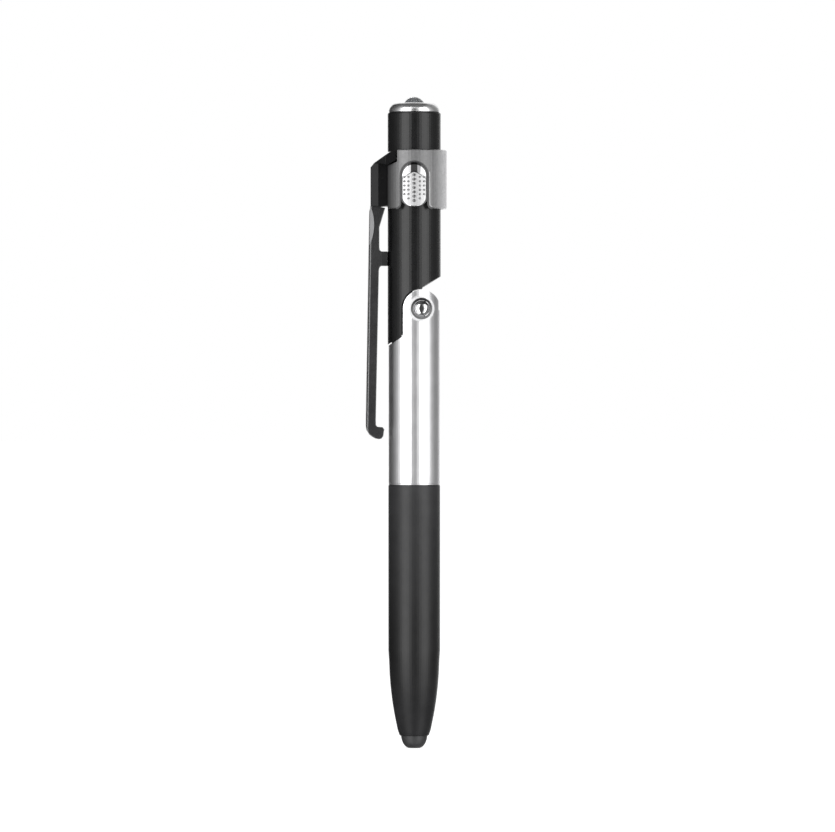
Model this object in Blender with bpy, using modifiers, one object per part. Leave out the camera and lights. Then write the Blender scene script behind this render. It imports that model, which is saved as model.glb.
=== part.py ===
"""Folding tool pen: stylus and ball point tip, twisting grip, silver barrel with a fork, black upper barrel
that folds on a rivet, collar with a slide switch, sprung clip and a small torch at the top end.

Metres, +Z along the pen. The tip's end is at the origin and the torch is on top. The slide switch faces -Y,
the clip is on the -X side, and the upper barrel folds towards +X.
"""

import math

import bmesh
import bpy
from mathutils import Matrix, Vector

# Fits
FIT_GAP = 0.0003
CUT_MARGIN = 0.001
MERGE_DISTANCE = 0.000001

# Turned surfaces
SHELL_STEPS = 64
INNER_STEPS = 32
SMALL_STEPS = 24
TINY_STEPS = 12

# Stylus tip
STYLUS_RADIUS = 0.00295
STYLUS_HEIGHT = 0.0044
STYLUS_SEAT = 0.0012
STYLUS_HOLE_RADIUS = 0.0012
STYLUS_NECK_RADIUS = 0.0022
STYLUS_NECK_LENGTH = 0.0042
STYLUS_SHARES = (
    (1.0, 0.84),
    (0.983, 0.70),
    (0.925, 0.556),
    (0.84, 0.42),
    (0.71, 0.278),
    (0.60, 0.17),
    (0.50, 0.08),
    (0.447, 0.0),
)

# Grip
GRIP_STEP = 0.00005
GRIP_TAPER_HEIGHT = 0.0186
GRIP_STRAIGHT_HEIGHT = 0.0368
GRIP_EDGE = 0.00015
GRIP_TAPER_SHARES = (
    (1.0, 1.0),
    (0.974, 0.876),
    (0.953, 0.715),
    (0.917, 0.570),
    (0.863, 0.425),
    (0.831, 0.355),
    (0.793, 0.283),
    (0.751, 0.211),
    (0.704, 0.139),
    (0.657, 0.067),
    (0.637, 0.043),
    (0.610, 0.017),
    (0.585, 0.0),
)
GRIP_WEB_HEIGHT = 0.001
GRIP_BORE_RADIUS = 0.0035
GRIP_BORE_RISE = 0.0016
GRIP_BORE_CONE = 0.002
GRIP_SOCKET_DEPTH = 0.0109

# Neck that joins the grip to the silver barrel, and the twist mechanism
INSERT_WALL = 0.0011
INSERT_LENGTH = 0.016
ROTOR_WALL = 0.0005
ROTOR_RISE = 0.002
ROTOR_COVER = 0.0007
REFILL_TRAVEL = 0.004
FOLLOWER_STEP = 0.0005
FOLLOWER_HEIGHT = 0.008
FOLLOWER_SPIGOT_LENGTH = 0.0043
LUG_WIDTH = 0.0012
LUG_HEIGHT = 0.001
LUG_DROP = 0.0022
LUG_SLOPE_ROOM = 0.00025
CAM_END_ANGLE = math.radians(14)
CAM_TURN = math.pi
CAM_STEPS = 26

# Refill
REFILL_POINT_Z = 0.0014
REFILL_BALL_RADIUS = 0.00035
REFILL_CONE_HEIGHT = 0.003
REFILL_SLEEVE_LENGTH = 0.0186
REFILL_SPIGOT_LENGTH = 0.004
REFILL_TUBE_RADIUS = 0.0015
REFILL_TUBE_WALL = 0.0004
REFILL_REACH = 0.0131
REFILL_SPRING_WIRE = 0.00015
REFILL_SPRING_ROOM = 0.0004
REFILL_SPRING_TURNS = 9
SPRING_POINTS_PER_TURN = 10

# Silver barrel
SILVER_STEP = 0.0002
SILVER_EDGE = 0.00015
SILVER_BORE_ROOM = 0.0040

# Fold hinge
EAR_RADIUS = 0.00415
EAR_OVERLAP = 0.0001
EAR_STEPS = 20
FORK_FLOOR = 0.0035
FORK_DEPTH = 0.0093
TANG_RADIUS = 0.0034
TANG_THICKNESS = 0.0029
TANG_ROOT = 0.0008
TANG_NECK_ROOT = 0.00155
TANG_NECK_ANGLE = math.radians(118)
TANG_WEB_SHORT = 0.00043
TANG_WEB_LEAN = math.radians(2.8)
TANG_STEPS = 26
PIN_RADIUS = 0.0012
PIN_HEAD_LIP = 0.00065
PIN_HEAD_HEIGHT = 0.0009
PIN_DOME_SHARES = ((0.0, 1.0), (0.34, 0.93), (0.62, 0.68), (0.81, 0.16), (1.0, 0.16), (1.0, 0.0))
RECESS_RIM_WIDTH = 0.0007
RECESS_RIM_SINK = 0.0006
RECESS_WALL = 0.00025
SKIRT_DROP = 0.00595
SKIRT_SLOPE = math.radians(33)
FOLD_FACE_SLOPE = math.radians(31)
FOLD_FACE_OFFSET = 0.00015
FOLD_FACE_STEP = 0.0003

# Black upper barrel
BLACK_WALL = 0.0010
BAY_LEDGE = 0.0006
BAY_FLOOR_RISE = 0.00285
BLACK_RING_RISE = 0.0011

# Cells and contacts
CELL_NAMES = ("cell_lower", "cell_middle", "cell_upper")
CELL_RADIUS = 0.00395
CELL_HEIGHT = 0.0036
CELL_CAP_RADIUS = 0.0031
CELL_CAP_HEIGHT = 0.0004
CELL_EDGE = 0.0002
CELL_PLAY = 0.00035
CELL_HEAD_ROOM = 0.0002
BATTERY_SPRING_RADIUS = 0.0024
BATTERY_SPRING_WIRE = 0.0002
BATTERY_SPRING_HEIGHT = 0.0023
BATTERY_SPRING_TURNS = 2.2
PLATE_THICKNESS = 0.0004
BOARD_WIDTH = 0.0066
BOARD_THICKNESS = 0.0008

# Collar
COLLAR_WALL = 0.00105
COLLAR_RISE = 0.0001
COLLAR_EDGE = 0.0002
NOTCH_GAP = 0.0002
NOTCH_FLARE = 0.0010
NOTCH_STEPS = 12

# Slide switch
BUTTON_WIDTH = 0.0057
BUTTON_HEIGHT = 0.0098
BUTTON_RISE = 0.0004
BUTTON_PROUD = 0.00015
BUTTON_BOTTOM_ROUND = 0.0016
BUTTON_STEPS = 12
BUTTON_TRAVEL = 0.0025
PAD_PROUD = 0.00022
PAD_DROP = 0.0022
PAD_TOP_SAG = 0.0014
PAD_INSET = 0.00015
PIP_RADIUS = 0.00026
PIP_HEIGHT = 0.00014
PIP_ROOT = 0.0004
PIP_PITCH_SHARE = 0.125
PIP_DROP_SHARE = 0.079
PIP_STEPS = 8
PIP_COLUMN_SHARES = ((0.0, 0.0, 7), (0.446, 0.5, 6), (-0.446, 0.5, 6), (0.772, 0.5, 5), (-0.772, 0.5, 5))
STEM_WIDTH = 0.0018
STEM_HEIGHT = 0.0026
STEM_RISE = 0.0040
FOOT_WIDTH = 0.0040
FOOT_THICKNESS = 0.0012
FOOT_MARGIN = 0.0007
WIPER_WIDTH = 0.0016
WIPER_THICKNESS = 0.0002
WIPER_BOW = 0.00075
WIPER_HEIGHT = 0.0034
WIPER_STEPS = 8

# Clip base. Its outline is in shares of the clip's reach from the axis and of the wedge's height.
CLIP_STAND = 0.0038
CLIP_CHEEK = 0.0012
CLIP_CHAMFER = 0.0007
CLIP_CHAMFER_SHARE = 0.825
CLIP_RISE = 0.0006
WEDGE_HEIGHT = 0.0039
WEDGE_OVERHANG = 0.0020
WEDGE_TAPER_SHARE = 0.66
WEDGE_SLOPE_SHARES = ((0.423, 0.0), (0.577, 0.18), (0.918, 0.757))
WEDGE_INNER_SHARES = ((0.608, 0.846), (0.423, 0.615))
POCKET_DEPTH = 0.0012
POCKET_HEAD_ROOM = 0.0006
POCKET_ROOF = 0.0006
CLIP_PIN_INSET = 0.0015
CLIP_PIN_RISE = 0.0054
CLIP_PIN_RADIUS = 0.0004
CLIP_PIN_PLAY = 0.0002
CLIP_PIN_BLIND_WALL = 0.0006

# Clip arm. Its long outline is in shares of its stand from the barrel and of its length below its pin.
ARM_HALF_WIDTH = 0.0024
ARM_PROUD = 0.0011
ARM_LENGTH = 0.0572
ARM_NECK_SHARES = ((0.826, 0.114), (0.870, 0.166))
ARM_BACK_SHARES = ((0.870, 0.280), (1.0, 0.918))
ARM_HOOK_SHARES = (
    (1.0, 0.948),
    (0.957, 0.965),
    (0.837, 0.981),
    (0.720, 0.989),
    (0.544, 0.997),
    (0.370, 1.0),
    (0.240, 0.998),
    (0.150, 0.989),
    (0.120, 0.970),
    (0.100, 0.963),
    (0.174, 0.954),
    (0.435, 0.952),
    (0.505, 0.945),
    (0.511, 0.923),
)
ARM_BUMP_SHARES = (
    (0.363, 0.343),
    (0.333, 0.332),
    (0.255, 0.326),
    (0.050, 0.3245),
    (0.0, 0.321),
    (0.0, 0.275),
    (0.050, 0.2715),
    (0.245, 0.270),
    (0.315, 0.265),
    (0.340, 0.254),
    (0.340, 0.175),
)
ARM_CROWN_SHARE = 3.0
ARM_CROWN_STEPS = 10
ARM_ROOT_OUT = 0.0014
ARM_ROOT_IN = 0.0008
ARM_ROOT_RISE = 0.0020
ARM_ROOT_CORNER = 0.0006
ARM_ROOT_FOOT = 0.0004
ARM_SHOULDER_GAP = 0.0006
ARM_SHOULDER_SLOPE = 0.0002
ARM_SKIN = 0.0004
ARM_SLOT_HALF_WIDTH = 0.0013
ARM_SLOT_DROP = 0.0034
CLIP_SPRING_ROOM = 0.00025
CLIP_SPRING_WIRE = 0.00012
CLIP_SPRING_TURNS = 2.25
CLIP_SPRING_PITCH = 0.00072
CLIP_SPRING_UPPER_LEG = 0.0009
CLIP_SPRING_LEG_GAP = 0.0005

# Torch end
CAP_HEIGHT = 0.0087
CAP_LAP = 0.0003
CAP_EDGE = 0.00035
CAP_EDGE_SHARE = 0.3
CAP_SEAT = 0.0017
HOLDER_HEIGHT = 0.0031
HOLDER_MARGIN = 0.0002
HOLDER_LEDGE = 0.0005
LEAD_RADIUS = 0.00025
LEAD_SPACING = 0.00254
LEAD_LAP = 0.0027
LED_RADIUS = 0.0025
LED_FLANGE = 0.0004
LED_FLANGE_HEIGHT = 0.0010
LED_PROUD = 0.0014
LED_HEIGHT = 0.0086
LED_DOME_STEPS = 7
BEZEL_STEP = 0.00025
BEZEL_HEIGHT = 0.0018
BEZEL_SHARES = ((0.62, 1.0), (0.76, 0.985), (0.857, 0.89), (0.911, 0.667), (0.959, 0.39), (0.995, 0.167), (1.0, 0.0))

# Radii of the barrels, from the cells outwards
BAY_RADIUS = CELL_RADIUS + CELL_PLAY
CHAMBER_RADIUS = BAY_RADIUS + BAY_LEDGE
BLACK_RADIUS = CHAMBER_RADIUS + BLACK_WALL
SILVER_RADIUS = BLACK_RADIUS - SILVER_STEP
GRIP_RADIUS = SILVER_RADIUS + GRIP_STEP

# Radii of the twist mechanism, from the refill outwards
FOLLOWER_RADIUS = REFILL_TUBE_RADIUS + FOLLOWER_STEP
ROTOR_BORE_RADIUS = FOLLOWER_RADIUS + FIT_GAP
ROTOR_RADIUS = ROTOR_BORE_RADIUS + ROTOR_WALL
INSERT_BORE_RADIUS = ROTOR_RADIUS + FIT_GAP
INSERT_RADIUS = INSERT_BORE_RADIUS + INSERT_WALL
SOCKET_RADIUS = INSERT_RADIUS + FIT_GAP

# Levels and fits of the grip and the refill
GRIP_BOTTOM = STYLUS_HEIGHT - STYLUS_SEAT
GRIP_NOSE_SEAT_Z = STYLUS_HEIGHT + FIT_GAP
GRIP_TOP = GRIP_BOTTOM + GRIP_TAPER_HEIGHT + GRIP_STRAIGHT_HEIGHT
SILVER_BOTTOM = GRIP_TOP + FIT_GAP
GRIP_WEB_Z = STYLUS_HEIGHT + STYLUS_NECK_LENGTH + FIT_GAP
GRIP_SPRING_SEAT_Z = GRIP_WEB_Z + GRIP_WEB_HEIGHT
GRIP_SOCKET_Z = GRIP_TOP - GRIP_SOCKET_DEPTH
INSERT_BOTTOM = GRIP_SOCKET_Z + FIT_GAP
INSERT_TOP = INSERT_BOTTOM + INSERT_LENGTH
REFILL_SLEEVE_RADIUS = STYLUS_HOLE_RADIUS - FIT_GAP
REFILL_SLEEVE_TOP = REFILL_POINT_Z + REFILL_SLEEVE_LENGTH
REFILL_TUBE_BOTTOM = REFILL_SLEEVE_TOP + FIT_GAP
REFILL_TUBE_TOP = SILVER_BOTTOM + REFILL_REACH
REFILL_TUBE_BORE_RADIUS = REFILL_TUBE_RADIUS - REFILL_TUBE_WALL
REFILL_SPIGOT_RADIUS = REFILL_TUBE_BORE_RADIUS - FIT_GAP
REFILL_SPRING_RADIUS = REFILL_SLEEVE_RADIUS + REFILL_SPRING_ROOM + REFILL_SPRING_WIRE
GRIP_SPRING_BORE_RADIUS = REFILL_SPRING_RADIUS + REFILL_SPRING_WIRE + REFILL_SPRING_ROOM
GRIP_SPRING_BORE_TOP = REFILL_TUBE_BOTTOM + GRIP_BORE_RISE
FOLLOWER_BOTTOM = REFILL_TUBE_TOP + FIT_GAP
FOLLOWER_TOP = FOLLOWER_BOTTOM + FOLLOWER_HEIGHT
LUG_Z = FOLLOWER_TOP - LUG_DROP
LUG_ROOM = LUG_HEIGHT / 2 + FIT_GAP
LUG_REACH = INSERT_RADIUS - FIT_GAP
ROTOR_BOTTOM = INSERT_BOTTOM + ROTOR_RISE
ROTOR_TOP = FOLLOWER_TOP + ROTOR_COVER

# Levels and fits of the silver barrel and the fold hinge
SILVER_BORE_TOP = ROTOR_TOP + SILVER_BORE_ROOM
FORK_ROOT = SILVER_BORE_TOP + FORK_FLOOR
PIN_X = SILVER_RADIUS - EAR_RADIUS + EAR_OVERLAP
PIN_Z = FORK_ROOT + FORK_DEPTH
PIN_HEAD_RADIUS = PIN_RADIUS + PIN_HEAD_LIP
PIN_HEAD_TOP = SILVER_RADIUS
PIN_HEAD_BASE = PIN_HEAD_TOP - PIN_HEAD_HEIGHT
PIN_BORE_RADIUS = PIN_RADIUS + FIT_GAP
RECESS_RADIUS = PIN_HEAD_RADIUS + FIT_GAP + RECESS_WALL
RECESS_FLOOR = PIN_HEAD_BASE - FIT_GAP
RECESS_RIM_START = SILVER_RADIUS - RECESS_RIM_SINK
RECESS_RIM_RADIUS = RECESS_RADIUS + RECESS_RIM_WIDTH
EAR_GAP_RADIUS = EAR_RADIUS + FIT_GAP
SKIRT_X = PIN_X - EAR_GAP_RADIUS
SKIRT_CORNER_Z = PIN_Z - SKIRT_DROP
FOLD_FACE_X = PIN_X + FOLD_FACE_OFFSET
FOLD_FACE_Z = PIN_Z + EAR_GAP_RADIUS + FOLD_FACE_STEP
SLOT_HALF_WIDTH = TANG_THICKNESS / 2 + FIT_GAP
SLOT_RADIUS = TANG_RADIUS + FIT_GAP
TANG_NECK_REACH = EAR_GAP_RADIUS + TANG_NECK_ROOT
TANG_WEB_REACH = math.hypot(EAR_GAP_RADIUS, SKIRT_DROP) - TANG_WEB_SHORT
TANG_WEB_ANGLE = math.atan2(SKIRT_DROP, EAR_GAP_RADIUS) - math.pi + TANG_WEB_LEAN
TANG_LEFT_X = SKIRT_X - TANG_ROOT

# Levels and fits of the upper barrel
BAY_FLOOR = FOLD_FACE_Z + BAY_FLOOR_RISE
BATTERY_SPRING_BOTTOM = BAY_FLOOR + FIT_GAP
CELL_FIRST_Z = BATTERY_SPRING_BOTTOM + BATTERY_SPRING_HEIGHT + FIT_GAP
CELL_PITCH = CELL_HEIGHT + FIT_GAP
BAY_TOP = CELL_FIRST_Z + CELL_PITCH * len(CELL_NAMES) - FIT_GAP + CELL_HEAD_ROOM
COLLAR_BOTTOM = BAY_TOP + COLLAR_RISE
CLIP_BOTTOM = COLLAR_BOTTOM + CLIP_RISE
CLIP_PIN_Z = CLIP_BOTTOM + CLIP_PIN_RISE
ARM_ROOT_TOP = CLIP_PIN_Z + ARM_ROOT_RISE
POCKET_TOP = ARM_ROOT_TOP + POCKET_HEAD_ROOM
WEDGE_BOTTOM = POCKET_TOP + POCKET_ROOF
COLLAR_TOP = WEDGE_BOTTOM + WEDGE_HEIGHT
CAP_BOTTOM = COLLAR_TOP - CAP_LAP
BLACK_TOP = CAP_BOTTOM - FIT_GAP
BLACK_RING_Z = BAY_FLOOR + BLACK_RING_RISE
SLEEVE_RADIUS = BLACK_RADIUS + FIT_GAP
COLLAR_RADIUS = SLEEVE_RADIUS + COLLAR_WALL
PLATE_RADIUS = CHAMBER_RADIUS - FIT_GAP
PLATE_BOTTOM = BAY_TOP + FIT_GAP

# Levels and fits of the torch end
CAP_TOP = CAP_BOTTOM + CAP_HEIGHT
CAP_SPIGOT_RADIUS = CHAMBER_RADIUS - FIT_GAP
BEZEL_RADIUS = BLACK_RADIUS - BEZEL_STEP
BEZEL_BOTTOM = CAP_TOP + FIT_GAP
BEZEL_TOP = BEZEL_BOTTOM + BEZEL_HEIGHT
BEZEL_HOLE_RADIUS = LED_RADIUS + FIT_GAP
BEZEL_SKIRT_RADIUS = CHAMBER_RADIUS - FIT_GAP
LED_TOP = BEZEL_TOP + LED_PROUD
LED_BASE = LED_TOP - LED_HEIGHT
LED_DOME_Z = LED_TOP - LED_RADIUS
BEZEL_SKIRT_BOTTOM = LED_BASE + LED_FLANGE_HEIGHT + FIT_GAP
CAP_STEP_Z = BEZEL_SKIRT_BOTTOM - FIT_GAP
LED_FLANGE_RADIUS = LED_RADIUS + LED_FLANGE
HOLDER_RADIUS = LED_FLANGE_RADIUS + HOLDER_MARGIN
HOLDER_TOP = LED_BASE - FIT_GAP
HOLDER_BOTTOM = HOLDER_TOP - HOLDER_HEIGHT
CAP_SEAT_Z = HOLDER_BOTTOM - FIT_GAP
CAP_SPIGOT_BOTTOM = CAP_SEAT_Z - CAP_SEAT
CAP_SPIGOT_BORE = HOLDER_RADIUS - HOLDER_LEDGE
CAP_BORE_RADIUS = HOLDER_RADIUS + FIT_GAP

# Levels and fits of the slide switch and the board
BUTTON_BOTTOM = COLLAR_BOTTOM + BUTTON_RISE
BUTTON_TOP = BUTTON_BOTTOM + BUTTON_HEIGHT
BUTTON_RADIUS = COLLAR_RADIUS + BUTTON_PROUD
PAD_RADIUS = BUTTON_RADIUS + PAD_PROUD
PAD_TOP = BUTTON_TOP - PAD_DROP
PIP_PITCH = (PAD_TOP - BUTTON_BOTTOM) * PIP_PITCH_SHARE
PIP_TOP = PAD_TOP - (PAD_TOP - BUTTON_BOTTOM) * PIP_DROP_SHARE
NOTCH_WIDTH = BUTTON_WIDTH + 2 * NOTCH_GAP
NOTCH_TOP = BUTTON_TOP + NOTCH_GAP
STEM_BOTTOM = BUTTON_BOTTOM + STEM_RISE
STEM_TOP = STEM_BOTTOM + STEM_HEIGHT
FOOT_FRONT_Y = FIT_GAP - math.sqrt(CHAMBER_RADIUS**2 - (FOOT_WIDTH / 2) ** 2)
FOOT_BACK_Y = FOOT_FRONT_Y + FOOT_THICKNESS
WIPER_FRONT_Y = FOOT_BACK_Y + FIT_GAP
BOARD_FRONT_Y = WIPER_FRONT_Y + WIPER_BOW + WIPER_THICKNESS + FIT_GAP
BOARD_BACK_Y = BOARD_FRONT_Y + BOARD_THICKNESS
BOARD_BOTTOM = PLATE_BOTTOM + PLATE_THICKNESS + FIT_GAP
BOARD_TOP = CAP_SPIGOT_BOTTOM - FIT_GAP
LEAD_Y = BOARD_BACK_Y + FIT_GAP + LEAD_RADIUS

# Levels and fits of the clip
CLIP_REACH = BLACK_RADIUS + CLIP_STAND
CLIP_OUTER_X = -CLIP_REACH
CLIP_PIN_X = CLIP_OUTER_X + CLIP_PIN_INSET
POCKET_HALF_WIDTH = ARM_HALF_WIDTH + FIT_GAP
CLIP_HALF_WIDTH = POCKET_HALF_WIDTH + CLIP_CHEEK
CLIP_CHAMFER_HALF_WIDTH = CLIP_HALF_WIDTH - CLIP_CHAMFER
WEDGE_HALF_WIDTH = CLIP_HALF_WIDTH + WEDGE_OVERHANG
CLIP_BORE_RADIUS = CLIP_PIN_RADIUS + CLIP_PIN_PLAY
CLIP_BORE_END = CLIP_HALF_WIDTH - CLIP_PIN_BLIND_WALL
CLIP_PIN_HALF_LENGTH = CLIP_BORE_END - FIT_GAP
POCKET_INNER_X = CLIP_PIN_X + POCKET_DEPTH
COLLAR_CUT_HALF_WIDTH = CLIP_HALF_WIDTH + FIT_GAP
ARM_ROOT_OUTER_X = CLIP_PIN_X - ARM_ROOT_OUT
ARM_ROOT_INNER_X = CLIP_PIN_X + ARM_ROOT_IN
ARM_SLOT_BOTTOM = CLIP_PIN_Z - ARM_SLOT_DROP
ARM_STAND = CLIP_REACH - SLEEVE_RADIUS + ARM_PROUD
ARM_CROWN_RADIUS = ARM_HALF_WIDTH * ARM_CROWN_SHARE
CLIP_SPRING_RADIUS = CLIP_PIN_RADIUS + CLIP_SPRING_ROOM + CLIP_SPRING_WIRE


def clear_scene():
    for old in list(bpy.data.objects):
        bpy.data.objects.remove(old, do_unlink=True)


def collection(name):
    made = bpy.data.collections.new(name)
    bpy.context.scene.collection.children.link(made)
    return made


def material(name, colour, roughness, metallic):
    made = bpy.data.materials.new(name)
    made.use_nodes = True
    shader = made.node_tree.nodes["Principled BSDF"]
    shader.inputs["Base Color"].default_value = (*colour, 1.0)
    shader.inputs["Roughness"].default_value = roughness
    shader.inputs["Metallic"].default_value = metallic
    made.diffuse_color = (*colour, 1.0)
    return made


def add(name, mesh, look=None):
    made = bpy.data.objects.new(name, mesh)
    if look is None:
        CUTTERS.objects.link(made)
        made.hide_render = True
        made.display_type = "WIRE"
    else:
        PARTS.objects.link(made)
        mesh.materials.append(look)
    return made


def turned(name, outline, steps, look=None, closed=True):
    """A turned solid. The outline is (radius, height), down its outer side from the top."""
    mesh = bpy.data.meshes.new(name)
    count = len(outline)
    edges = [(i, i + 1) for i in range(count - 1)]
    if closed:
        edges.append((count - 1, 0))
    mesh.from_pydata([(r, 0, z) for r, z in outline], edges, [])
    made = add(name, mesh, look)
    turn = made.modifiers.new("Turn", "SCREW")
    turn.steps = steps
    turn.render_steps = steps
    turn.use_merge_vertices = True
    turn.merge_threshold = MERGE_DISTANCE
    turn.use_smooth_shade = True
    return made


def disc_cutter(name, radius, low, high, steps):
    outline = ((0, high), (radius, high), (radius, low), (0, low))
    return turned(name, outline, steps, closed=False)


def outline_mesh(name, outline, half_depth):
    """A flat outline in local X and Y, thickened along local Z, as a closed mesh."""
    curve = bpy.data.curves.new(name, "CURVE")
    curve.dimensions = "2D"
    curve.fill_mode = "BOTH"
    curve.extrude = half_depth
    line = curve.splines.new("POLY")
    line.points.add(len(outline) - 1)
    for point, (u, v) in zip(line.points, outline):
        point.co = (u, v, 0, 1)
    line.use_cyclic_u = True
    source = bpy.data.objects.new(name, curve)
    bpy.context.scene.collection.objects.link(source)
    mesh = bpy.data.meshes.new_from_object(source)
    bpy.data.objects.remove(source)
    bpy.data.curves.remove(curve)
    shape = bmesh.new()
    shape.from_mesh(mesh)
    bmesh.ops.remove_doubles(shape, verts=shape.verts, dist=MERGE_DISTANCE)
    bmesh.ops.recalc_face_normals(shape, faces=shape.faces)
    shape.to_mesh(mesh)
    shape.free()
    mesh.name = name
    return mesh


def front_prism(name, outline, y_low, y_high, look=None):
    """An outline of (x, z) points that runs from y_low to y_high."""
    mesh = outline_mesh(name, outline, (y_high - y_low) / 2)
    made = add(name, mesh, look)
    made.rotation_euler = (math.pi / 2, 0, 0)
    made.location = (0, (y_low + y_high) / 2, 0)
    return made


def side_prism(name, outline, x_low, x_high, look=None):
    """An outline of (y, z) points that runs from x_low to x_high."""
    mesh = outline_mesh(name, outline, (x_high - x_low) / 2)
    made = add(name, mesh, look)
    made.rotation_euler = (math.pi / 2, 0, math.pi / 2)
    made.location = ((x_low + x_high) / 2, 0, 0)
    return made


def plan_prism(name, outline, z_low, z_high, look=None):
    """An outline of (x, y) points that runs from z_low to z_high."""
    mesh = outline_mesh(name, outline, (z_high - z_low) / 2)
    made = add(name, mesh, look)
    made.location = (0, 0, (z_low + z_high) / 2)
    return made


def box(name, low, high, look=None):
    mesh = bpy.data.meshes.new(name)
    shape = bmesh.new()
    bmesh.ops.create_cube(shape, size=1)
    size = Vector(high) - Vector(low)
    bmesh.ops.scale(shape, vec=size, verts=shape.verts)
    shape.to_mesh(mesh)
    shape.free()
    made = add(name, mesh, look)
    made.location = (Vector(high) + Vector(low)) / 2
    return made


def along_y(made, x, z):
    """Lays a piece that was turned about Z along Y, its lower end towards -Y."""
    made.rotation_euler = (-math.pi / 2, 0, 0)
    made.location = (x, 0, z)
    return made


def combine(made, other, operation):
    step = made.modifiers.new(operation.title(), "BOOLEAN")
    step.operation = operation
    step.solver = "EXACT"
    step.object = other


def cut(made, *others):
    for other in others:
        combine(made, other, "DIFFERENCE")


def keep(made, *others):
    for other in others:
        combine(made, other, "INTERSECT")


def fuse(made, *others):
    for other in others:
        combine(made, other, "UNION")


def polar(x, z, radius, angle):
    return (x + radius * math.cos(angle), z + radius * math.sin(angle))


def arc(x, z, radius, start, end, steps):
    """Points round (x, z), from the start angle to the end angle."""
    turn = (end - start) / steps
    return [polar(x, z, radius, start + turn * i) for i in range(steps + 1)]


def wire(name, path, radius, look):
    curve = bpy.data.curves.new(name, "CURVE")
    curve.dimensions = "3D"
    curve.bevel_depth = radius
    curve.bevel_resolution = 1
    curve.use_fill_caps = True
    line = curve.splines.new("POLY")
    line.points.add(len(path) - 1)
    for point, place in zip(line.points, path):
        point.co = (*place, 1)
    made = bpy.data.objects.new(name, curve)
    PARTS.objects.link(made)
    curve.materials.append(look)
    return made


def coil_path(radius, low, high, turns):
    steps = int(turns * SPRING_POINTS_PER_TURN)
    path = []
    for i in range(steps + 1):
        share = i / steps
        angle = share * turns * 2 * math.pi
        height = low + (high - low) * share
        path.append((radius * math.cos(angle), radius * math.sin(angle), height))
    return path


def report_coil_gap(name, path, wire_radius):
    """Prints the least gap between a coil's turns, measured on its points."""
    least = math.inf
    for i, here in enumerate(path):
        for there in path[i + SPRING_POINTS_PER_TURN // 2 :]:
            least = min(least, math.dist(here, there))
    print(name, "least gap to itself in mm:", round((least - 2 * wire_radius) * 1000, 3))


def stylus_tip(look):
    neck_top = STYLUS_HEIGHT + STYLUS_NECK_LENGTH
    outline = [(STYLUS_NECK_RADIUS, neck_top), (STYLUS_NECK_RADIUS, STYLUS_HEIGHT)]
    outline.append((STYLUS_RADIUS, STYLUS_HEIGHT))
    outline += [(STYLUS_RADIUS * r, GRIP_BOTTOM * z) for r, z in STYLUS_SHARES]
    outline += [(STYLUS_HOLE_RADIUS, 0), (STYLUS_HOLE_RADIUS, neck_top)]
    return turned("stylus_tip", outline, SHELL_STEPS, look)


def grip_shell(look):
    nose_bore = STYLUS_NECK_RADIUS + FIT_GAP
    nose_seat = STYLUS_RADIUS + FIT_GAP
    outline = [(GRIP_RADIUS - GRIP_EDGE, GRIP_TOP), (GRIP_RADIUS, GRIP_TOP - GRIP_EDGE)]
    for radius_share, height_share in GRIP_TAPER_SHARES:
        height = GRIP_BOTTOM + GRIP_TAPER_HEIGHT * height_share
        outline.append((GRIP_RADIUS * radius_share, height))
    outline += [
        (nose_seat, GRIP_BOTTOM),
        (nose_seat, GRIP_NOSE_SEAT_Z),
        (nose_bore, GRIP_NOSE_SEAT_Z),
        (nose_bore, GRIP_WEB_Z),
        (STYLUS_HOLE_RADIUS, GRIP_WEB_Z),
        (STYLUS_HOLE_RADIUS, GRIP_SPRING_SEAT_Z),
        (GRIP_SPRING_BORE_RADIUS, GRIP_SPRING_SEAT_Z),
        (GRIP_SPRING_BORE_RADIUS, GRIP_SPRING_BORE_TOP),
        (GRIP_BORE_RADIUS, GRIP_SPRING_BORE_TOP + GRIP_BORE_CONE),
        (GRIP_BORE_RADIUS, GRIP_SOCKET_Z),
        (SOCKET_RADIUS, GRIP_SOCKET_Z),
        (SOCKET_RADIUS, GRIP_TOP),
    ]
    return turned("grip_shell", outline, SHELL_STEPS, look)


def tube(name, radius, bore, low, high, steps, look=None):
    outline = ((radius, high), (radius, low), (bore, low), (bore, high))
    return turned(name, outline, steps, look)


def twist_rotor(look):
    made = tube("twist_rotor", ROTOR_RADIUS, ROTOR_BORE_RADIUS, ROTOR_BOTTOM, ROTOR_TOP, INNER_STEPS, look)
    half_width = LUG_WIDTH / 2 + FIT_GAP
    low = (0, -half_width, LUG_Z - REFILL_TRAVEL - LUG_ROOM)
    high = (LUG_REACH, half_width, LUG_Z + LUG_ROOM)
    cut(made, box("rotor_slot_cutter", low, high))
    return made


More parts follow.
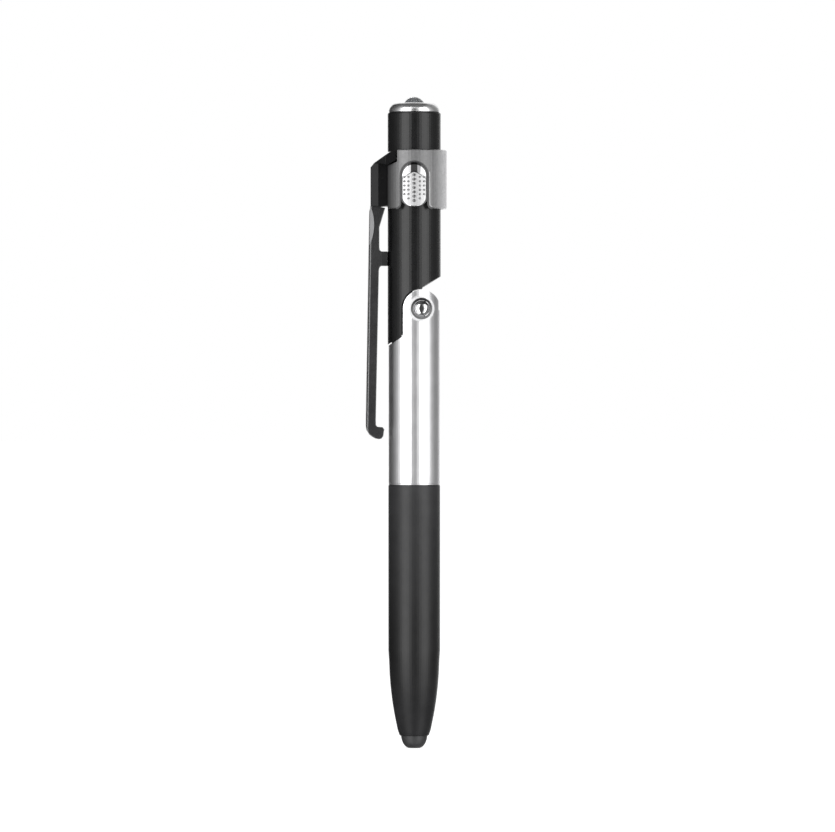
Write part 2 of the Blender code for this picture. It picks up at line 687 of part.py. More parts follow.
def helical_bar(name):
    """The path that the follower's lug takes through the cam sleeve."""
    inner = INSERT_BORE_RADIUS - FIT_GAP
    outer = INSERT_RADIUS + FIT_GAP
    room = LUG_ROOM + LUG_SLOPE_ROOM
    shape = bmesh.new()
    rings = []
    whole = CAM_TURN + 2 * CAM_END_ANGLE
    for i in range(CAM_STEPS + 1):
        angle = whole * i / CAM_STEPS - CAM_END_ANGLE
        height = LUG_Z - REFILL_TRAVEL * angle / CAM_TURN
        corners = ((inner, -room), (outer, -room), (outer, room), (inner, room))
        ring = []
        for radius, offset in corners:
            place = (radius * math.cos(angle), radius * math.sin(angle), height + offset)
            ring.append(shape.verts.new(place))
        rings.append(ring)
    shape.faces.new(rings[0])
    shape.faces.new(list(reversed(rings[-1])))
    for before, after in zip(rings, rings[1:]):
        for i in range(4):
            j = (i + 1) % 4
            shape.faces.new((before[i], after[i], after[j], before[j]))
    bmesh.ops.triangulate(shape, faces=shape.faces)
    bmesh.ops.recalc_face_normals(shape, faces=shape.faces)
    mesh = bpy.data.meshes.new(name)
    shape.to_mesh(mesh)
    shape.free()
    return add(name, mesh)


def cam_sleeve(look):
    low = INSERT_TOP + FIT_GAP
    high = SILVER_BORE_TOP - FIT_GAP
    made = tube("cam_sleeve", INSERT_RADIUS, INSERT_BORE_RADIUS, low, high, INNER_STEPS, look)
    cut(made, helical_bar("cam_slot_cutter"))
    return made


def cam_follower(look):
    spigot = REFILL_SPIGOT_RADIUS
    spigot_bottom = FOLLOWER_BOTTOM - FOLLOWER_SPIGOT_LENGTH
    outline = (
        (0, FOLLOWER_TOP),
        (FOLLOWER_RADIUS, FOLLOWER_TOP),
        (FOLLOWER_RADIUS, FOLLOWER_BOTTOM),
        (spigot, FOLLOWER_BOTTOM),
        (spigot, spigot_bottom),
        (0, spigot_bottom),
    )
    made = turned("cam_follower", outline, SMALL_STEPS, look, closed=False)
    low = (FOLLOWER_RADIUS / 2, -LUG_WIDTH / 2, LUG_Z - LUG_HEIGHT / 2)
    high = (LUG_REACH, LUG_WIDTH / 2, LUG_Z + LUG_HEIGHT / 2)
    fuse(made, box("follower_lug", low, high))
    return made


def refill_tip(look):
    cone_top = REFILL_POINT_Z + REFILL_CONE_HEIGHT
    spigot_top = REFILL_SLEEVE_TOP + REFILL_SPIGOT_LENGTH
    outline = (
        (0, spigot_top),
        (REFILL_SPIGOT_RADIUS, spigot_top),
        (REFILL_SPIGOT_RADIUS, REFILL_SLEEVE_TOP),
        (REFILL_SLEEVE_RADIUS, REFILL_SLEEVE_TOP),
        (REFILL_SLEEVE_RADIUS, cone_top),
        (REFILL_BALL_RADIUS, REFILL_POINT_Z + REFILL_BALL_RADIUS),
        (REFILL_BALL_RADIUS / 2, REFILL_POINT_Z),
        (0, REFILL_POINT_Z),
    )
    return turned("refill_tip", outline, SMALL_STEPS, look, closed=False)


def refill_tube(look):
    radius = REFILL_TUBE_RADIUS
    bore = REFILL_TUBE_BORE_RADIUS
    return tube("refill_tube", radius, bore, REFILL_TUBE_BOTTOM, REFILL_TUBE_TOP, SMALL_STEPS, look)


def refill_spring(look):
    low = GRIP_SPRING_SEAT_Z + FIT_GAP + REFILL_SPRING_WIRE
    high = REFILL_TUBE_BOTTOM - FIT_GAP - REFILL_SPRING_WIRE
    path = coil_path(REFILL_SPRING_RADIUS, low, high, REFILL_SPRING_TURNS)
    report_coil_gap("refill_spring", path, REFILL_SPRING_WIRE)
    return wire("refill_spring", path, REFILL_SPRING_WIRE, look)


def skirt_line(x):
    """Height of the black skirt's slanted lower edge at x."""
    return SKIRT_CORNER_Z + (x - SKIRT_X) * math.tan(SKIRT_SLOPE)


def seat_line(x):
    """Height of the silver barrel's slanted seat at x, under the skirt's edge."""
    return skirt_line(x) - FIT_GAP / math.cos(SKIRT_SLOPE)


def recess_cutter(name, side):
    deep = SILVER_RADIUS + CUT_MARGIN
    rim_end = RECESS_RIM_START + RECESS_RIM_RADIUS - RECESS_RADIUS
    outline = (
        (0, deep),
        (RECESS_RIM_RADIUS, deep),
        (RECESS_RIM_RADIUS, rim_end),
        (RECESS_RADIUS, RECESS_RIM_START),
        (RECESS_RADIUS, RECESS_FLOOR),
        (0, RECESS_FLOOR),
    )
    made = turned(name, outline, INNER_STEPS, closed=False)
    along_y(made, PIN_X, PIN_Z)
    if side < 0:
        made.rotation_euler = (math.pi / 2, 0, 0)
    return made


def fork_slot_cutter(wide, top):
    """Room in the fork for the tang, for its web on the left and for its neck when it is folded."""
    wall_angle = -FIT_GAP / SLOT_RADIUS
    web_angle = TANG_WEB_ANGLE + FIT_GAP / SLOT_RADIUS
    outline = arc(PIN_X, PIN_Z, SLOT_RADIUS, web_angle, wall_angle, TANG_STEPS)
    wall_z = outline[-1][1]
    web_x, web_z = polar(PIN_X, PIN_Z, TANG_WEB_REACH + wide, web_angle)
    outline += [(wide, wall_z), (wide, top), (web_x, top), (web_x, web_z)]
    return front_prism("fork_slot_cutter", outline, -SLOT_HALF_WIDTH, SLOT_HALF_WIDTH)


def silver_barrel(look):
    top = PIN_Z + EAR_RADIUS + CUT_MARGIN
    outline = (
        (0, top),
        (SILVER_RADIUS, top),
        (SILVER_RADIUS, FORK_ROOT),
        (SILVER_RADIUS, SILVER_BOTTOM + SILVER_EDGE),
        (SILVER_RADIUS - SILVER_EDGE, SILVER_BOTTOM),
        (SOCKET_RADIUS, SILVER_BOTTOM),
        (SOCKET_RADIUS, SILVER_BORE_TOP),
        (0, SILVER_BORE_TOP),
    )
    made = turned("silver_barrel", outline, SHELL_STEPS, look, closed=False)
    wide = SILVER_RADIUS + CUT_MARGIN
    cut(made, fork_slot_cutter(wide, top + CUT_MARGIN))
    left = PIN_X - EAR_RADIUS
    kept = [(wide, SILVER_BOTTOM - CUT_MARGIN), (wide, PIN_Z)]
    kept += arc(PIN_X, PIN_Z, EAR_RADIUS, 0, math.pi, EAR_STEPS)
    kept += [(left, seat_line(left)), (-wide, seat_line(-wide)), (-wide, SILVER_BOTTOM - CUT_MARGIN)]
    keep(made, front_prism("fork_outline", kept, -wide, wide))
    bore = disc_cutter("fork_bore_cutter", PIN_BORE_RADIUS, -wide, wide, SMALL_STEPS)
    cut(made, along_y(bore, PIN_X, PIN_Z))
    cut(made, recess_cutter("back_recess_cutter", 1), recess_cutter("front_recess_cutter", -1))
    return made


def hinge_pin(look):
    upper = [(PIN_HEAD_RADIUS * r, PIN_HEAD_BASE + PIN_HEAD_HEIGHT * z) for r, z in PIN_DOME_SHARES]
    upper.append((PIN_RADIUS, PIN_HEAD_BASE))
    lower = [(r, -z) for r, z in reversed(upper)]
    made = turned("hinge_pin", upper + lower, SMALL_STEPS, look, closed=False)
    return along_y(made, PIN_X, PIN_Z)


def tang():
    half = TANG_THICKNESS / 2
    outline = arc(PIN_X, PIN_Z, TANG_RADIUS, TANG_WEB_ANGLE, TANG_NECK_ANGLE, TANG_STEPS)
    neck = polar(PIN_X, PIN_Z, TANG_NECK_REACH, TANG_NECK_ANGLE)
    web = polar(PIN_X, PIN_Z, TANG_WEB_REACH, TANG_WEB_ANGLE)
    outline += [neck, (TANG_LEFT_X, neck[1]), (TANG_LEFT_X, web[1]), web]
    return front_prism("tang", outline, -half, half)


def upper_barrel(look):
    bottom = skirt_line(-BLACK_RADIUS) - CUT_MARGIN
    outline = (
        (0, BAY_FLOOR),
        (BAY_RADIUS, BAY_FLOOR),
        (BAY_RADIUS, BAY_TOP),
        (CHAMBER_RADIUS, BAY_TOP),
        (CHAMBER_RADIUS, BLACK_TOP),
        (BLACK_RADIUS, BLACK_TOP),
        (BLACK_RADIUS, BAY_TOP),
        (BLACK_RADIUS, BLACK_RING_Z),
        (BLACK_RADIUS, bottom),
        (0, bottom),
    )
    made = turned("upper_barrel", outline, SHELL_STEPS, look, closed=False)
    wide = BLACK_RADIUS + CUT_MARGIN
    face_rise = (wide - FOLD_FACE_X) * math.tan(FOLD_FACE_SLOPE)
    face_angle = math.acos((FOLD_FACE_X - PIN_X) / EAR_GAP_RADIUS)
    kept = [(wide, FOLD_FACE_Z + face_rise), (wide, BLACK_TOP + CUT_MARGIN), (-wide, BLACK_TOP + CUT_MARGIN)]
    kept += [(-wide, skirt_line(-wide)), (SKIRT_X, SKIRT_CORNER_Z)]
    kept += arc(PIN_X, PIN_Z, EAR_GAP_RADIUS, math.pi, face_angle, EAR_STEPS)
    kept += [(FOLD_FACE_X, FOLD_FACE_Z)]
    keep(made, front_prism("shell_outline", kept, -wide, wide))
    fuse(made, tang())
    bore = disc_cutter("tang_bore_cutter", PIN_BORE_RADIUS, -wide, wide, SMALL_STEPS)
    cut(made, along_y(bore, PIN_X, PIN_Z))
    slot_half = STEM_WIDTH / 2 + FIT_GAP
    slot_low = (-slot_half, -wide, STEM_BOTTOM - BUTTON_TRAVEL - FIT_GAP)
    slot_high = (slot_half, -BAY_RADIUS, STEM_TOP + FIT_GAP)
    cut(made, box("switch_slot_cutter", slot_low, slot_high))
    return made


def battery_spring(look):
    low = BATTERY_SPRING_BOTTOM + BATTERY_SPRING_WIRE
    high = BATTERY_SPRING_BOTTOM + BATTERY_SPRING_HEIGHT - BATTERY_SPRING_WIRE
    path = coil_path(BATTERY_SPRING_RADIUS, low, high, BATTERY_SPRING_TURNS)
    report_coil_gap("battery_spring", path, BATTERY_SPRING_WIRE)
    return wire("battery_spring", path, BATTERY_SPRING_WIRE, look)


def cell(name, bottom, look):
    shoulder = CELL_HEIGHT - CELL_CAP_HEIGHT
    outline = (
        (0, CELL_HEIGHT),
        (CELL_CAP_RADIUS, CELL_HEIGHT),
        (CELL_CAP_RADIUS, shoulder),
        (CELL_RADIUS - CELL_EDGE, shoulder),
        (CELL_RADIUS, shoulder - CELL_EDGE),
        (CELL_RADIUS, CELL_EDGE),
        (CELL_RADIUS - CELL_EDGE, 0),
        (0, 0),
    )
    made = turned(name, outline, INNER_STEPS, look, closed=False)
    made.location = (0, 0, bottom)
    return made


def contact_plate(look):
    top = PLATE_BOTTOM + PLATE_THICKNESS
    outline = ((0, top), (PLATE_RADIUS, top), (PLATE_RADIUS, PLATE_BOTTOM), (0, PLATE_BOTTOM))
    return turned("contact_plate", outline, INNER_STEPS, look, closed=False)


def circuit_board(look):
    low = (-BOARD_WIDTH / 2, BOARD_FRONT_Y, BOARD_BOTTOM)
    high = (BOARD_WIDTH / 2, BOARD_BACK_Y, BOARD_TOP)
    return box("circuit_board", low, high, look)


def led_lead(name, x, look):
    top = LED_BASE - FIT_GAP
    bottom = BOARD_TOP - LEAD_LAP
    outline = ((0, top), (LEAD_RADIUS, top), (LEAD_RADIUS, bottom), (0, bottom))
    made = turned(name, outline, TINY_STEPS, look, closed=False)
    made.location = (x, LEAD_Y, 0)
    return made


def led_holder(look):
    radius = HOLDER_RADIUS
    outline = ((0, HOLDER_TOP), (radius, HOLDER_TOP), (radius, HOLDER_BOTTOM), (0, HOLDER_BOTTOM))
    made = turned("led_holder", outline, INNER_STEPS, look, closed=False)
    low = HOLDER_BOTTOM - CUT_MARGIN
    for name, side in (("lead_hole_cutter_left", -1), ("lead_hole_cutter_right", 1)):
        hole = disc_cutter(name, LEAD_RADIUS + FIT_GAP, low, HOLDER_TOP + CUT_MARGIN, TINY_STEPS)
        hole.location = (side * LEAD_SPACING / 2, LEAD_Y, 0)
        cut(made, hole)
    return made


def led(look):
    outline = []
    for i in range(LED_DOME_STEPS):
        angle = math.pi / 2 * (1 - i / (LED_DOME_STEPS - 1))
        radius = 0 if i == 0 else LED_RADIUS * math.cos(angle)
        outline.append((radius, LED_DOME_Z + LED_RADIUS * math.sin(angle)))
    flange_top = LED_BASE + LED_FLANGE_HEIGHT
    outline += [
        (LED_RADIUS, flange_top),
        (LED_FLANGE_RADIUS, flange_top),
        (LED_FLANGE_RADIUS, LED_BASE),
        (0, LED_BASE),
    ]
    return turned("led", outline, INNER_STEPS, look, closed=False)


def end_cap(look):
    bevel = CAP_EDGE * CAP_EDGE_SHARE
    outline = (
        (BLACK_RADIUS - CAP_EDGE, CAP_TOP),
        (BLACK_RADIUS - bevel, CAP_TOP - bevel),
        (BLACK_RADIUS, CAP_TOP - CAP_EDGE),
        (BLACK_RADIUS, CAP_BOTTOM),
        (CAP_SPIGOT_RADIUS, CAP_BOTTOM),
        (CAP_SPIGOT_RADIUS, CAP_SPIGOT_BOTTOM),
        (CAP_SPIGOT_BORE, CAP_SPIGOT_BOTTOM),
        (CAP_SPIGOT_BORE, CAP_SEAT_Z),
        (CAP_BORE_RADIUS, CAP_SEAT_Z),
        (CAP_BORE_RADIUS, CAP_STEP_Z),
        (CHAMBER_RADIUS, CAP_STEP_Z),
        (CHAMBER_RADIUS, CAP_TOP),
    )
    return turned("end_cap", outline, SHELL_STEPS, look)


def led_bezel(look):
    outline = [(BEZEL_RADIUS * r, BEZEL_BOTTOM + BEZEL_HEIGHT * z) for r, z in BEZEL_SHARES]
    outline += [
        (BEZEL_SKIRT_RADIUS, BEZEL_BOTTOM),
        (BEZEL_SKIRT_RADIUS, BEZEL_SKIRT_BOTTOM),
        (BEZEL_HOLE_RADIUS, BEZEL_SKIRT_BOTTOM),
        (BEZEL_HOLE_RADIUS, BEZEL_TOP),
    ]
    return turned("led_bezel", outline, SHELL_STEPS, look)


def notch_outline():
    half = NOTCH_WIDTH / 2
    flare = NOTCH_FLARE
    arch_z = NOTCH_TOP - half
    low = COLLAR_BOTTOM - CUT_MARGIN
    outline = [(half + flare, low)]
    outline += arc(half + flare, COLLAR_BOTTOM + flare, flare, -math.pi / 2, -math.pi, NOTCH_STEPS // 2)
    outline += arc(0, arch_z, half, 0, math.pi, NOTCH_STEPS)
    outline += arc(-half - flare, COLLAR_BOTTOM + flare, flare, 0, -math.pi / 2, NOTCH_STEPS // 2)
    outline += [(-half - flare, low)]
    return outline


def wedge_points(shares):
    """Points of the clip base's wedge, from shares of the clip's reach and of the wedge's height."""
    return [(CLIP_OUTER_X * x, COLLAR_TOP - WEDGE_HEIGHT * z) for x, z in shares]


def clip_collar(look):
    outline = (
        (COLLAR_RADIUS - COLLAR_EDGE, COLLAR_TOP),
        (COLLAR_RADIUS, COLLAR_TOP - COLLAR_EDGE),
        (COLLAR_RADIUS, COLLAR_BOTTOM + COLLAR_EDGE),
        (COLLAR_RADIUS - COLLAR_EDGE, COLLAR_BOTTOM),
        (SLEEVE_RADIUS, COLLAR_BOTTOM),
        (SLEEVE_RADIUS, COLLAR_TOP),
    )
    made = turned("clip_collar", outline, SHELL_STEPS, look)
    wide = COLLAR_RADIUS + CUT_MARGIN
    cut(made, front_prism("notch_cutter", notch_outline(), -wide, 0))
    (step_x, step_z), (inner_x, corner_z) = wedge_points(WEDGE_INNER_SHARES)
    low = (-wide, -COLLAR_CUT_HALF_WIDTH, COLLAR_BOTTOM - CUT_MARGIN)
    cut(made, box("clip_opening_cutter", low, (0, COLLAR_CUT_HALF_WIDTH, corner_z)))
    inner = inner_x + FIT_GAP
    top = COLLAR_TOP + CUT_MARGIN
    step = step_z - FIT_GAP
    opening = ((inner, top), (-wide, top), (-wide, step), (step_x, step), (inner, corner_z - FIT_GAP))
    cut(made, front_prism("wedge_opening_cutter", opening, -wide, wide))
    return made


def plan_of_base():
    """The clip base seen from above, with its outer corners chamfered."""
    wide = CLIP_HALF_WIDTH + CUT_MARGIN
    outer = CLIP_OUTER_X - CUT_MARGIN
    chamfer = CLIP_OUTER_X * CLIP_CHAMFER_SHARE
    half = [(0, wide), (chamfer, wide), (chamfer, CLIP_HALF_WIDTH)]
    half += [(CLIP_OUTER_X, CLIP_CHAMFER_HALF_WIDTH), (outer, CLIP_CHAMFER_HALF_WIDTH)]
    return half + [(x, -y) for x, y in reversed(half)]


def plan_of_wedge():
    """The clip base's wedge seen from above, narrower towards its outer end."""
    wide = WEDGE_HALF_WIDTH + CUT_MARGIN
    taper = CLIP_OUTER_X * WEDGE_TAPER_SHARE
    slope_end = wedge_points(WEDGE_SLOPE_SHARES)[-1][0]
    half = [(0, wide), (taper, wide), (taper, WEDGE_HALF_WIDTH), (slope_end, CLIP_HALF_WIDTH)]
    return half + [(x, -y) for x, y in reversed(half)]


def clip_base(look):
    slope = wedge_points(WEDGE_SLOPE_SHARES)
    inner_x = slope[0][0]
    low = CLIP_BOTTOM - CUT_MARGIN
    high = COLLAR_TOP + CUT_MARGIN
    block = slope + [(CLIP_OUTER_X, WEDGE_BOTTOM), (CLIP_OUTER_X, CLIP_BOTTOM), (inner_x, CLIP_BOTTOM)]
    made = front_prism("clip_base", block, -CLIP_HALF_WIDTH, CLIP_HALF_WIDTH, look)
    keep(made, plan_prism("clip_base_plan", plan_of_base(), low, high))
    wedge_outline = slope + wedge_points(WEDGE_INNER_SHARES)
    wedge = front_prism("clip_wedge", wedge_outline, -WEDGE_HALF_WIDTH, WEDGE_HALF_WIDTH)
    keep(wedge, plan_prism("clip_wedge_plan", plan_of_wedge(), WEDGE_BOTTOM - CUT_MARGIN, high))
    fuse(made, wedge)
    cut(made, disc_cutter("clip_barrel_cutter", SLEEVE_RADIUS, low, high, SHELL_STEPS))
    pocket_low = (CLIP_OUTER_X - CUT_MARGIN, -POCKET_HALF_WIDTH, low)
    cut(made, box("clip_pocket_cutter", pocket_low, (POCKET_INNER_X, POCKET_HALF_WIDTH, POCKET_TOP)))
    reach = CLIP_HALF_WIDTH + CUT_MARGIN
    bore = disc_cutter("clip_bore_cutter", CLIP_BORE_RADIUS, -CLIP_BORE_END, reach, TINY_STEPS)
    cut(made, along_y(bore, CLIP_PIN_X, CLIP_PIN_Z))
    return made


def clip_pin(look):
    end = CLIP_PIN_HALF_LENGTH
    radius = CLIP_PIN_RADIUS
    outline = ((0, end), (radius, end), (radius, -end), (0, -end))
    made = turned("clip_pin", outline, TINY_STEPS, look, closed=False)
    return along_y(made, CLIP_PIN_X, CLIP_PIN_Z)


def arm_point(stand_share, length_share):
    """A point of the arm, by its stand from the barrel and its distance below the clip's pin."""
    return (-SLEEVE_RADIUS - ARM_STAND * stand_share, CLIP_PIN_Z - ARM_LENGTH * length_share)


def arm_outline():
    corner = ARM_ROOT_CORNER
    shoulder_x = -BLACK_RADIUS - ARM_SHOULDER_GAP
    shoulder_top = CLIP_BOTTOM - FIT_GAP + ARM_SHOULDER_SLOPE / 2
    outline = [
        (ARM_ROOT_OUTER_X + corner, ARM_ROOT_TOP),
        (ARM_ROOT_OUTER_X, ARM_ROOT_TOP - corner),
        (ARM_ROOT_OUTER_X, CLIP_BOTTOM + ARM_ROOT_FOOT),
    ]
    table = ARM_NECK_SHARES + ARM_BACK_SHARES + ARM_HOOK_SHARES + ARM_BUMP_SHARES
    outline += [arm_point(*shares) for shares in table]
    outline += [
        (shoulder_x, shoulder_top - ARM_SHOULDER_SLOPE),
        (ARM_ROOT_INNER_X, shoulder_top),
        (ARM_ROOT_INNER_X, ARM_ROOT_TOP - corner),
        (ARM_ROOT_INNER_X - corner, ARM_ROOT_TOP),
    ]
    return outline


def arm_crown():
    """The arm's rounded outer side, as a long solid that lies along its outer edge."""
    edge = [arm_point(*shares) for shares in ARM_BACK_SHARES]
    high, low = (Vector((x, 0, z)) for x, z in edge)
    radius = ARM_CROWN_RADIUS
    half_width = (ARM_HALF_WIDTH + radius) / 2
    spread = math.asin(half_width / radius)
    depth = ARM_STAND + CUT_MARGIN
    outline = arc(radius, 0, radius, math.pi - spread, math.pi + spread, ARM_CROWN_STEPS)
    outline += [(depth, -half_width), (depth, half_width)]
    half_length = (high - low).length
    made = plan_prism("arm_crown", outline, -half_length, half_length)
    made.location = (high + low) / 2
    made.rotation_euler = (0, math.atan2(high.x - low.x, high.z - low.z), 0)
    return made


def clip_arm(look):
    made = front_prism("clip_arm", arm_outline(), -ARM_HALF_WIDTH, ARM_HALF_WIDTH, look)
    keep(made, arm_crown())
    slot_low = (ARM_ROOT_OUTER_X + ARM_SKIN, -ARM_SLOT_HALF_WIDTH, ARM_SLOT_BOTTOM)
    slot_high = (POCKET_INNER_X, ARM_SLOT_HALF_WIDTH, POCKET_TOP)
    cut(made, box("arm_slot_cutter", slot_low, slot_high))
    reach = ARM_HALF_WIDTH + CUT_MARGIN
    bore = disc_cutter("arm_bore_cutter", CLIP_BORE_RADIUS, -reach, reach, TINY_STEPS)
    cut(made, along_y(bore, CLIP_PIN_X, CLIP_PIN_Z))
    return made


def clip_spring(look):
    half = CLIP_SPRING_TURNS * CLIP_SPRING_PITCH / 2
    round_pin = coil_path(CLIP_SPRING_RADIUS, -half, half, CLIP_SPRING_TURNS)
    report_coil_gap("clip_spring", round_pin, CLIP_SPRING_WIRE)
    path = [(CLIP_PIN_X + u, v_y, CLIP_PIN_Z + v_z) for u, v_z, v_y in round_pin]
    start = Vector(path[0])
    end = Vector(path[-1])
    path.insert(0, (start.x, start.y, ARM_SLOT_BOTTOM + CLIP_SPRING_LEG_GAP))
    path.append(tuple(end + Vector((CLIP_SPRING_UPPER_LEG, 0, 0))))
    return wire("clip_spring", path, CLIP_SPRING_WIRE, look)


def button_outline(inset, top, top_round):
    """Outline of the slide button or of its pad, drawn in by inset. top_round is the rise of its top edge."""
    half = BUTTON_WIDTH / 2 - inset
    bottom = BUTTON_BOTTOM + inset
    side_bottom = bottom + BUTTON_BOTTOM_ROUND
    side_top = top - top_round
    outline = []
    for i in range(BUTTON_STEPS + 1):
        angle = math.pi * i / BUTTON_STEPS
        outline.append((half * math.cos(angle), side_top + top_round * math.sin(angle)))
    for i in range(BUTTON_STEPS + 1):
        angle = math.pi + math.pi * i / BUTTON_STEPS
        outline.append((half * math.cos(angle), side_bottom + BUTTON_BOTTOM_ROUND * math.sin(angle)))
    return outline


def curved_plate(name, radius, bore, outline, look=None):
    """A plate bent round the barrel, cut to an outline seen from the front."""
    low = BUTTON_BOTTOM - CUT_MARGIN
    high = BUTTON_TOP + CUT_MARGIN
    made = tube(name, radius, bore, low, high, SHELL_STEPS, look)
    keep(made, front_prism(name + "_outline", outline, -radius - CUT_MARGIN, 0))
    return made


def pips():
    """The grip pips on the slide button's pad, as one cutter mesh."""
    mesh = bpy.data.meshes.new("pips")
    shape = bmesh.new()
    depth = PIP_ROOT + PIP_HEIGHT
    for x_share, row_share, count in PIP_COLUMN_SHARES:
        x = BUTTON_WIDTH / 2 * x_share
        surface = -math.sqrt(PAD_RADIUS**2 - x**2)
        y = surface - PIP_HEIGHT + depth / 2
        for row in range(count):
            z = PIP_TOP - PIP_PITCH * (row + row_share)
            place = Matrix.Translation((x, y, z)) @ Matrix.Rotation(math.pi / 2, 4, "X")
            bmesh.ops.create_cone(
                shape,
                cap_ends=True,
                segments=PIP_STEPS,
                radius1=PIP_RADIUS,
                radius2=PIP_RADIUS / 2,
                depth=depth,
                matrix=place,
            )
    bmesh.ops.recalc_face_normals(shape, faces=shape.faces)
    shape.to_mesh(mesh)
    shape.free()
    return add("pips", mesh)


def slide_button(look):
    whole = button_outline(0, BUTTON_TOP, BUTTON_WIDTH / 2)
    made = curved_plate("slide_button", BUTTON_RADIUS, SLEEVE_RADIUS, whole, look)
    pad_outline = button_outline(PAD_INSET, PAD_TOP, PAD_TOP_SAG)
    pad_bore = (BUTTON_RADIUS + SLEEVE_RADIUS) / 2
    fuse(made, curved_plate("button_pad", PAD_RADIUS, pad_bore, pad_outline), pips())
    return made


def slider_stem(look):
    low = (-STEM_WIDTH / 2, -BLACK_RADIUS, STEM_BOTTOM)
    high = (STEM_WIDTH / 2, (FOOT_FRONT_Y + FOOT_BACK_Y) / 2, STEM_TOP)
    made = box("slider_stem", low, high, look)
    foot_low = (-FOOT_WIDTH / 2, FOOT_FRONT_Y, STEM_BOTTOM - FOOT_MARGIN)
    foot_high = (FOOT_WIDTH / 2, FOOT_BACK_Y, STEM_TOP + FOOT_MARGIN)
    fuse(made, box("slider_foot", foot_low, foot_high))
    return made


def slider_contact(look):
    """A bowed strip between the slider's foot and the circuit board."""
    middle = (STEM_BOTTOM + STEM_TOP) / 2
    half = WIPER_HEIGHT / 2
    front = []
    for i in range(WIPER_STEPS + 1):
        share = 2 * i / WIPER_STEPS - 1
        bow = WIPER_BOW * (1 - share**2)
        front.append((WIPER_FRONT_Y + bow, middle + half * share))
    rear = [(y + WIPER_THICKNESS, z) for y, z in reversed(front)]
    return side_prism("slider_contact", front + rear, -WIPER_WIDTH / 2, WIPER_WIDTH / 2, look)


def build_lower(silver, steel, brass):
    silver_barrel(silver)
    hinge_pin(steel)
    cam_sleeve(brass)


def build_grip(rubber, stylus, black, white, spring):
    grip_shell(rubber)
    stylus_tip(stylus)
    tube("grip_insert", INSERT_RADIUS, INSERT_BORE_RADIUS, INSERT_BOTTOM, INSERT_TOP, INNER_STEPS, black)
    twist_rotor(white)
    refill_spring(spring)


def build_refill(steel, ink, white):
    refill_tip(steel)
    refill_tube(ink)
    cam_follower(white)


def build_upper(black, grey, spring, cells, brass, board, white, clear, chrome, steel):
    upper_barrel(black)
    battery_spring(spring)
    for index, name in enumerate(CELL_NAMES):
        cell(name, CELL_FIRST_Z + CELL_PITCH * index, cells)
    contact_plate(brass)
    circuit_board(board)
    led_lead("led_lead_left", -LEAD_SPACING / 2, steel)
    led_lead("led_lead_right", LEAD_SPACING / 2, steel)
    led_holder(white)
    led(clear)
    led_bezel(chrome)
    end_cap(black)
    clip_collar(grey)
    clip_base(black)
    clip_pin(steel)


def build_clip(black, spring):
    clip_arm(black)
    clip_spring(spring)


def build_switch(chrome, white, brass):
    slide_button(chrome)
    slider_stem(white)
    slider_contact(brass)


clear_scene()
PARTS = collection("multi_tool_pen")
CUTTERS = collection("cutters")

SILVER = material("silver_polish", (0.80, 0.80, 0.81), 0.12, 1.0)
CHROME = material("chrome", (0.86, 0.86, 0.87), 0.07, 1.0)
STEEL = material("steel", (0.70, 0.70, 0.71), 0.18, 1.0)
SPRING_STEEL = material("spring_steel", (0.55, 0.55, 0.56), 0.30, 1.0)
BRASS = material("brass", (0.78, 0.60, 0.30), 0.30, 1.0)
CELL_STEEL = material("cell_steel", (0.66, 0.66, 0.67), 0.25, 1.0)
BLACK = material("black_satin", (0.035, 0.035, 0.037), 0.38, 0.0)
CLIP_BLACK = material("clip_black", (0.030, 0.030, 0.032), 0.30, 0.0)
GREY = material("collar_grey", (0.42, 0.42, 0.43), 0.42, 0.6)
GRIP_GREY = material("grip_soft_touch", (0.060, 0.060, 0.063), 0.62, 0.0)
STYLUS_GREY = material("stylus_rubber", (0.10, 0.10, 0.105), 0.70, 0.0)
WHITE = material("white_plastic", (0.80, 0.80, 0.78), 0.45, 0.0)
INK = material("refill_plastic", (0.10, 0.10, 0.14), 0.35, 0.0)
BOARD = material("circuit_board_green", (0.04, 0.22, 0.10), 0.50, 0.0)
CLEAR = material("led_clear", (0.80, 0.82, 0.84), 0.08, 0.0)

build_lower(SILVER, STEEL, BRASS)
build_grip(GRIP_GREY, STYLUS_GREY, BLACK, WHITE, SPRING_STEEL)
build_refill(STEEL, INK, WHITE)
build_upper(BLACK, GREY, SPRING_STEEL, CELL_STEEL, BRASS, BOARD, WHITE, CLEAR, CHROME, STEEL)
build_clip(CLIP_BLACK, SPRING_STEEL)
build_switch(CHROME, WHITE, BRASS)
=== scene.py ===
"""Looks of the folding tool pen: materials, small details, studio light and the camera.

Metres, in the frame of the CAD model: +Z along the pen, the slide switch faces -Y, the clip is on the -X side.
"""

import math

import bmesh
import bpy
from mathutils import Matrix, Vector


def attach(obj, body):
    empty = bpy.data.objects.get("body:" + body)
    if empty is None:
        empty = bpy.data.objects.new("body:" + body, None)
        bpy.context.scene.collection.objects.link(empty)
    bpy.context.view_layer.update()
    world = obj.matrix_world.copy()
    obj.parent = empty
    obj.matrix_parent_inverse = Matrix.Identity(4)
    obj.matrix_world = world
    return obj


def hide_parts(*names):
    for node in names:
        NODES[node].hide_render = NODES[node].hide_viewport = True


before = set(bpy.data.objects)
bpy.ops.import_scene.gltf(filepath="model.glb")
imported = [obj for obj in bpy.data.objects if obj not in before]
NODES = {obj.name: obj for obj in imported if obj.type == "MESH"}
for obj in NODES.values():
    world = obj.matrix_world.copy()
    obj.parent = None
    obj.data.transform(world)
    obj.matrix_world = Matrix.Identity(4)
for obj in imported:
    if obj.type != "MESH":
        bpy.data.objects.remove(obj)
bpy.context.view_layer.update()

MICRON = 0.000001
UPRIGHT = Matrix.Identity(4)

# The photograph's frame and the pen's place in it

